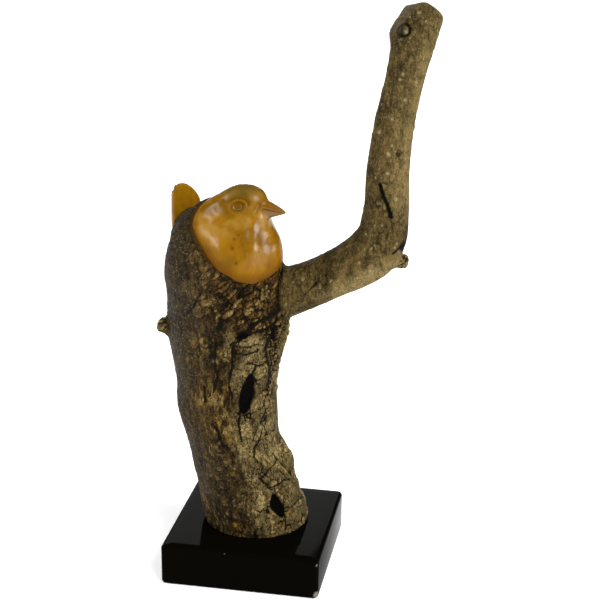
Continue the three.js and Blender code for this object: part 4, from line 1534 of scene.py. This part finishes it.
def eye_finish(settings):
    """Carved eye of the same amber wood: a darker line round the dome, deepest to the lower front where it is
    painted shade, and another round its ring.
    """
    recipe = Recipe("carved_eye")
    spread = recipe.measured("spread")
    speck = recipe.noise(recipe.place(), 700.0, 3.0, 0.6)
    reach = spread + speck * 0.5 - 0.25
    lower = recipe.measured("lower")
    dome = 1 - reach.over(EYE_RADIUS - 1.6, EYE_RADIUS - 0.4)
    inner_line = reach.over(EYE_RADIUS - 1.3, EYE_RADIUS - 0.3)
    inner_line = inner_line * (1 - reach.over(EYE_RADIUS + 0.2, EYE_RADIUS + 1.0))
    outer_line = reach.over(EYE_RING, EYE_RING + 0.6) * (1 - reach.over(EYE_RING + 0.6, EYE_PATCH))
    layers = (
        (dome * 0.85, settings.eye, 0.75),
        # The line round the dome deepens to the lower front as painted shade
        (inner_line * (0.55 + lower * 0.4), settings.eye, 0.25),
        (outer_line * (0.25 - lower * 0.2), settings.eye, 0.5),
    )
    colour = recipe.paint(recipe.tones(speck.over(0.3, 0.7), settings.amber, 0.7, 1.05), layers)
    return recipe.surface(
        {
            "Base Color": colour,
            "Roughness": 0.18 + speck * 0.12,
            "Normal": recipe.bump(speck, 0.1, 0.0003),
            "Specular IOR Level": 0.35,
        }
    )


def lacquer_finish(settings):
    """Gloss black lacquer with faint waviness and a few rubbed, paler places."""
    recipe = Recipe("gloss_black_lacquer")
    place = recipe.place()
    wave = recipe.noise(place, 22.0, 2.0, 0.5)
    dust = recipe.noise(place, 1400.0, 3.0, 0.6)
    worn = 0.0
    for x, y, z, radius in PLINTH_WEAR:
        away = recipe.vector_math("DISTANCE", {0: place, 1: (x * MM, y * MM, z * MM)}, output=1)
        worn = (1 - (away + dust * WEAR_FRAY).over(radius * MM * 0.6, radius * MM)) + worn
    colour = recipe.mix(worn, with_alpha(settings.lacquer), with_alpha(settings.worn))
    return recipe.surface(
        {
            "Base Color": colour,
            "Roughness": 0.04 + wave * 0.05 + worn * 0.4,
            "IOR": LACQUER_IOR,
            "Normal": recipe.bump(wave, 0.03, 0.001),
        }
    )


# Settings, operators and panel


def colour_property(name, description, default):
    """Colour that a user can change."""
    return FloatVectorProperty(
        name=name, description=description, subtype="COLOR", size=3, min=0, max=1, default=default
    )


def factor_property(name, description, most):
    """Factor from 0 to the most, which is 1 until a user changes it."""
    return FloatProperty(
        name=name, description=description, subtype="FACTOR", min=0, max=most, default=1.0
    )


class BarkSettings(bpy.types.PropertyGroup):
    """Relief and colours of the bark."""

    relief: factor_property("Relief", "Depth of the bark's relief", 2)
    # Also the near-black painted as shade in cracks and hollows
    crack: colour_property("Cracks", "Colour deep in the cracks", (0.012, 0.008, 0.003))
    dark: colour_property("Bark", "Colour of the weathered bark", (0.086, 0.056, 0.015))
    # Also the colour of the painted light on the limb's lit side and underside
    pale: colour_property("Pale plates", "Colour of the dry plates and tips", (0.37, 0.275, 0.11))
    smooth: colour_property("Smooth bark", "Colour of the smooth side", (0.03, 0.0212, 0.008))
    limb: colour_property("Limb bark", "Colour of the young limb", (0.1, 0.069, 0.022))
    warm: colour_property("Warm tint", "Warmer patches of the bark", (0.5, 0.36, 0.2))
    olive: colour_property("Olive tint", "Greener patches of the bark", (0.33, 0.34, 0.16))
    rust: colour_property("Rusty crumbs", "Colour of crumbling inner bark", (0.26, 0.12, 0.03))
    lichen: colour_property("Lichen", "Colour of the orange lichen", (0.4, 0.21, 0.025))
    fleck: colour_property("Flecks", "Colour of the pale flecks", (0.42, 0.35, 0.19))
    inner_wood: colour_property("Inner wood", "Colour of wood where bark is peeled", (0.14, 0.065, 0.02))


class WrenSettings(bpy.types.PropertyGroup):
    """Carving and colours of the wren."""

    carving: factor_property("Carving", "Depth of the knife marks", 3)
    amber: colour_property("Amber wood", "Colour of the waxed wood", (0.215, 0.098, 0.002))
    grain: colour_property("Grain", "Colour of the grain lines", (0.12, 0.045, 0.002))
    rim: colour_property("Rim", "Colour of the wood near the bark", (0.13, 0.05, 0.003))
    # Paler patches painted on the head as highlights
    painted_head_highlight: colour_property("Painted head highlight", "Colour of the paler patches of the head", (0.3, 0.17, 0.03))
    # Painted dull reflection and shade on the top of the head
    crown: colour_property("Crown", "Colour of the darker top of the head", (0.09, 0.06, 0.011))
    eye: colour_property("Eye", "Colour of the eye's dome", (0.13, 0.056, 0.004))
    ring_centre: FloatVectorProperty(
        name="Ring centre",
        description="Axis that the growth rings go round",
        subtype="TRANSLATION",
        size=3,
        default=(-0.022, 0.008, 0.0),
    )


class PlinthSettings(bpy.types.PropertyGroup):
    """Edges and colours of the plinth."""

    edge: FloatProperty(
        name="Edge",
        description="Radius of the broken edges",
        default=0.0024,
        min=0.0005,
        max=0.004,
        unit="LENGTH",
    )
    lacquer: colour_property("Lacquer", "Colour of the black lacquer", (0.0018, 0.0016, 0.001))
    worn: colour_property("Worn edge", "Colour where the lacquer is rubbed", (0.16, 0.15, 0.1))


class StageSettings(bpy.types.PropertyGroup):
    """Floor and light of the studio."""

    floor: colour_property("Floor", "Colour of the floor", (0.92, 0.92, 0.92))
    strength: factor_property("Light", "Strength of the lamps", 5)


def finished(piece, finish, node):
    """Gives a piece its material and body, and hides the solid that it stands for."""
    piece.data.materials.append(finish)
    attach(piece, "root")
    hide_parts(node)
    return piece


class WREN_OT_branch(bpy.types.Operator):
    """Makes the bark-covered stem and limb."""

    bl_idname = "wren.branch"
    bl_label = "Make Branch"

    def execute(self, context):
        settings = context.scene.wren_bark
        finish = bark_finish(settings)
        made = [
            raise_bark("bark_stem", stem_rings(), True, settings),
            raise_bark("bark_limb", limb_rings(), False, settings),
        ]
        for name, stub in zip(STUB_NAMES, STUBS):
            made.append(raise_stub(name, stub, settings))
        for piece in made:
            finished(piece, finish, "carved_branch")
        return {"FINISHED"}


class WREN_OT_bird(bpy.types.Operator):
    """Makes the carved bird, its eyes and its tail."""

    bl_idname = "wren.bird"
    bl_label = "Make Bird"

    def execute(self, context):
        settings = context.scene.wren_bird
        finished(wren_skin(settings), wood_finish(settings), "carved_branch")
        finished(tail_piece(), wood_finish(settings, False), "carved_branch")
        finish = eye_finish(settings)
        for name, side in (("right_eye", -1), ("left_eye", 1)):
            points, faces, spread, lower = eye_skin(side)
            made = object_of(name, points, faces)
            place_points(made.data, to_world(points))
            measure(made.data, "spread", spread)
            measure(made.data, "lower", lower)
            finished(made, finish, "carved_branch")
        return {"FINISHED"}


class WREN_OT_plinth(bpy.types.Operator):
    """Makes the lacquered plinth with softly rounded edges."""

    bl_idname = "wren.plinth"
    bl_label = "Make Plinth"

    def execute(self, context):
        settings = context.scene.wren_plinth
        points, faces = plinth_skin(settings.edge / MM)
        made = object_of("lacquered_plinth", points, faces)
        place_points(made.data, points * MM)
        finished(made, lacquer_finish(settings), "plinth")
        return {"FINISHED"}


def plinth_skin(edge):
    """Rounded square carried up the plinth's side: arcs joined by straights, drawn in by the edge radius."""
    lift = np.linspace(0, math.pi / 2, PLINTH_ARC_POINTS)
    inset = np.concatenate([edge * (1 - np.sin(lift)), edge * (1 - np.cos(lift))])
    level = np.concatenate([edge * (1 - np.cos(lift)), PLINTH_HEIGHT - edge * (1 - np.sin(lift))])
    radius = np.maximum(PLINTH_CORNER - inset, PLINTH_LEAST_CORNER)
    middle = PLINTH_SIDE / 2 - inset - radius
    turn = (lift + np.arange(4)[:, None] * math.pi / 2).ravel()
    arcs = np.column_stack([np.cos(turn), np.sin(turn), 0 * turn])
    corners = np.repeat([(1, 1, 0), (-1, 1, 0), (-1, -1, 0), (1, -1, 0)], len(lift), axis=0)
    rings = corners * middle[:, None, None] + arcs * radius[:, None, None]
    rings += level[:, None, None] * np.array((0, 0, 1))
    foot = rings[:1] * np.array([(share, share, 1) for share in (0.25, 0.5, 0.75)])[:, None]
    top = rings[-1:] * np.array([(share, share, 1) for share in (0.9, 0.7, 0.5, 0.25)])[:, None]
    return skin_of_rings(np.concatenate([foot, rings, top]))


def lamp(name, wide, tall, glow, place):
    """Soft rectangular lamp that faces the part, as bright all over as its glow."""
    data = bpy.data.lights.new(name, "AREA")
    data.shape = "RECTANGLE"
    data.size = wide
    data.size_y = tall
    data.energy = glow * math.pi * wide * tall
    made = bpy.data.objects.new(name, data)
    made.location = place
    made.rotation_euler = (Vector(AIM) - Vector(place)).to_track_quat("-Z", "Y").to_euler()
    bpy.context.scene.collection.objects.link(made)


def floor_sheet():
    """Level square sheet of points on an even grid, and the quads between them."""
    line = np.linspace(-FLOOR_REACH, FLOOR_REACH, FLOOR_LINES)
    x, y = np.meshgrid(line, line, indexing="ij")
    index = np.arange(line.size**2).reshape(line.size, line.size)
    quads = np.stack([index[:-1, :-1], index[1:, :-1], index[1:, 1:], index[:-1, 1:]], axis=-1)
    return np.stack([x, y, 0 * x], axis=-1).reshape(-1, 3), quads.reshape(-1, 4).tolist()


def floor_finish(settings):
    """Matte white floor that glows a little, with a barely uneven tone."""
    recipe = Recipe("matte_floor")
    tone = recipe.noise(recipe.place(), 3.0, 2.0, 0.5)
    return recipe.surface(
        {
            "Base Color": recipe.tones(tone, settings.floor, 0.98, 1.0),
            "Roughness": 0.9,
            "Emission Color": WHITE,
            "Emission Strength": FLOOR_GLOW,
        }
    )


def overhead_sun(strength):
    """Wide sun from above that lights the part without showing in its gloss."""
    data = bpy.data.lights.new("overhead", "SUN")
    data.energy = SUN_GLOW * strength
    data.angle = math.radians(SUN_SPREAD)
    made = bpy.data.objects.new("overhead", data)
    made.rotation_euler = [math.radians(angle) for angle in SUN_TURN]
    made.visible_glossy = False
    bpy.context.scene.collection.objects.link(made)


def white_sky():
    """Even white sky that doesn't show in the gloss either."""
    sky = bpy.data.worlds.new("studio_sky")
    sky.use_nodes = True
    background = sky.node_tree.nodes["Background"]
    background.inputs["Color"].default_value = WHITE
    background.inputs["Strength"].default_value = SKY_GLOW
    sky.cycles_visibility.glossy = False
    bpy.context.scene.world = sky


def photo_camera():
    """Camera that sees the part as the photograph does."""
    data = bpy.data.cameras.new("photo_camera")
    data.lens = CAMERA_LENS
    data.sensor_width = CAMERA_SENSOR
    data.clip_start = CAMERA_NEAR
    made = bpy.data.objects.new("photo_camera", data)
    made.matrix_world = camera_matrix()
    bpy.context.scene.collection.objects.link(made)
    bpy.context.scene.camera = made


class WREN_OT_stage(bpy.types.Operator):
    """Makes the floor, lamps, sky and camera."""

    bl_idname = "wren.stage"
    bl_label = "Make Stage"

    def execute(self, context):
        settings = context.scene.wren_stage
        floor = object_of("studio_floor", *floor_sheet())
        floor.data.materials.append(floor_finish(settings))
        for name, wide, tall, glow, place in PANELS:
            lamp(name, wide, tall, glow * settings.strength, place)
        overhead_sun(settings.strength)
        white_sky()
        photo_camera()
        context.scene.view_settings.view_transform = "Standard"
        return {"FINISHED"}


def camera_matrix():
    """Columns right, up and back of the camera, from its yaw, pitch and roll, and its place."""
    yaw, pitch, roll = (math.radians(angle) for angle in (CAMERA_YAW, CAMERA_PITCH, CAMERA_ROLL))
    forward = Vector((-math.sin(yaw) * math.cos(pitch), math.cos(yaw) * math.cos(pitch), -math.sin(pitch)))
    right = Vector((math.cos(yaw), math.sin(yaw), 0))
    down = forward.cross(right)
    turned_right = math.cos(roll) * right + math.sin(roll) * down
    turned_down = math.cos(roll) * down - math.sin(roll) * right
    matrix = Matrix((turned_right, -turned_down, -forward)).transposed().to_4x4()
    matrix.translation = CAMERA_PLACE
    return matrix


class WREN_PT_panel(bpy.types.Panel):
    """Lists the wren's operators and settings."""

    bl_label = "Wren"
    bl_idname = "WREN_PT_panel"
    bl_space_type = "VIEW_3D"
    bl_region_type = "UI"
    bl_category = "Wren"

    def draw(self, context):
        for operator in OPERATORS:
            self.layout.operator(operator.bl_idname)
        for name, group in SETTINGS.items():
            box = self.layout.box()
            for field in group.__annotations__:
                box.prop(getattr(context.scene, name), field)


SETTINGS = {
    "wren_bark": BarkSettings,
    "wren_bird": WrenSettings,
    "wren_plinth": PlinthSettings,
    "wren_stage": StageSettings,
}
OPERATORS = (WREN_OT_branch, WREN_OT_bird, WREN_OT_plinth, WREN_OT_stage)


def register():
    """Adds the classes and the scene's settings."""
    for group in (*SETTINGS.values(), *OPERATORS, WREN_PT_panel):
        bpy.utils.register_class(group)
    for name, group in SETTINGS.items():
        setattr(bpy.types.Scene, name, PointerProperty(type=group))


def unregister():
    """Takes them out again."""
    for name in SETTINGS:
        delattr(bpy.types.Scene, name)
    for group in (WREN_PT_panel, *OPERATORS, *SETTINGS.values()):
        bpy.utils.unregister_class(group)


def main():
    """Makes every piece and the stage."""
    register()
    bpy.ops.wren.branch()
    bpy.ops.wren.bird()
    bpy.ops.wren.plinth()
    bpy.ops.wren.stage()


if __name__ == "__main__":
    main()
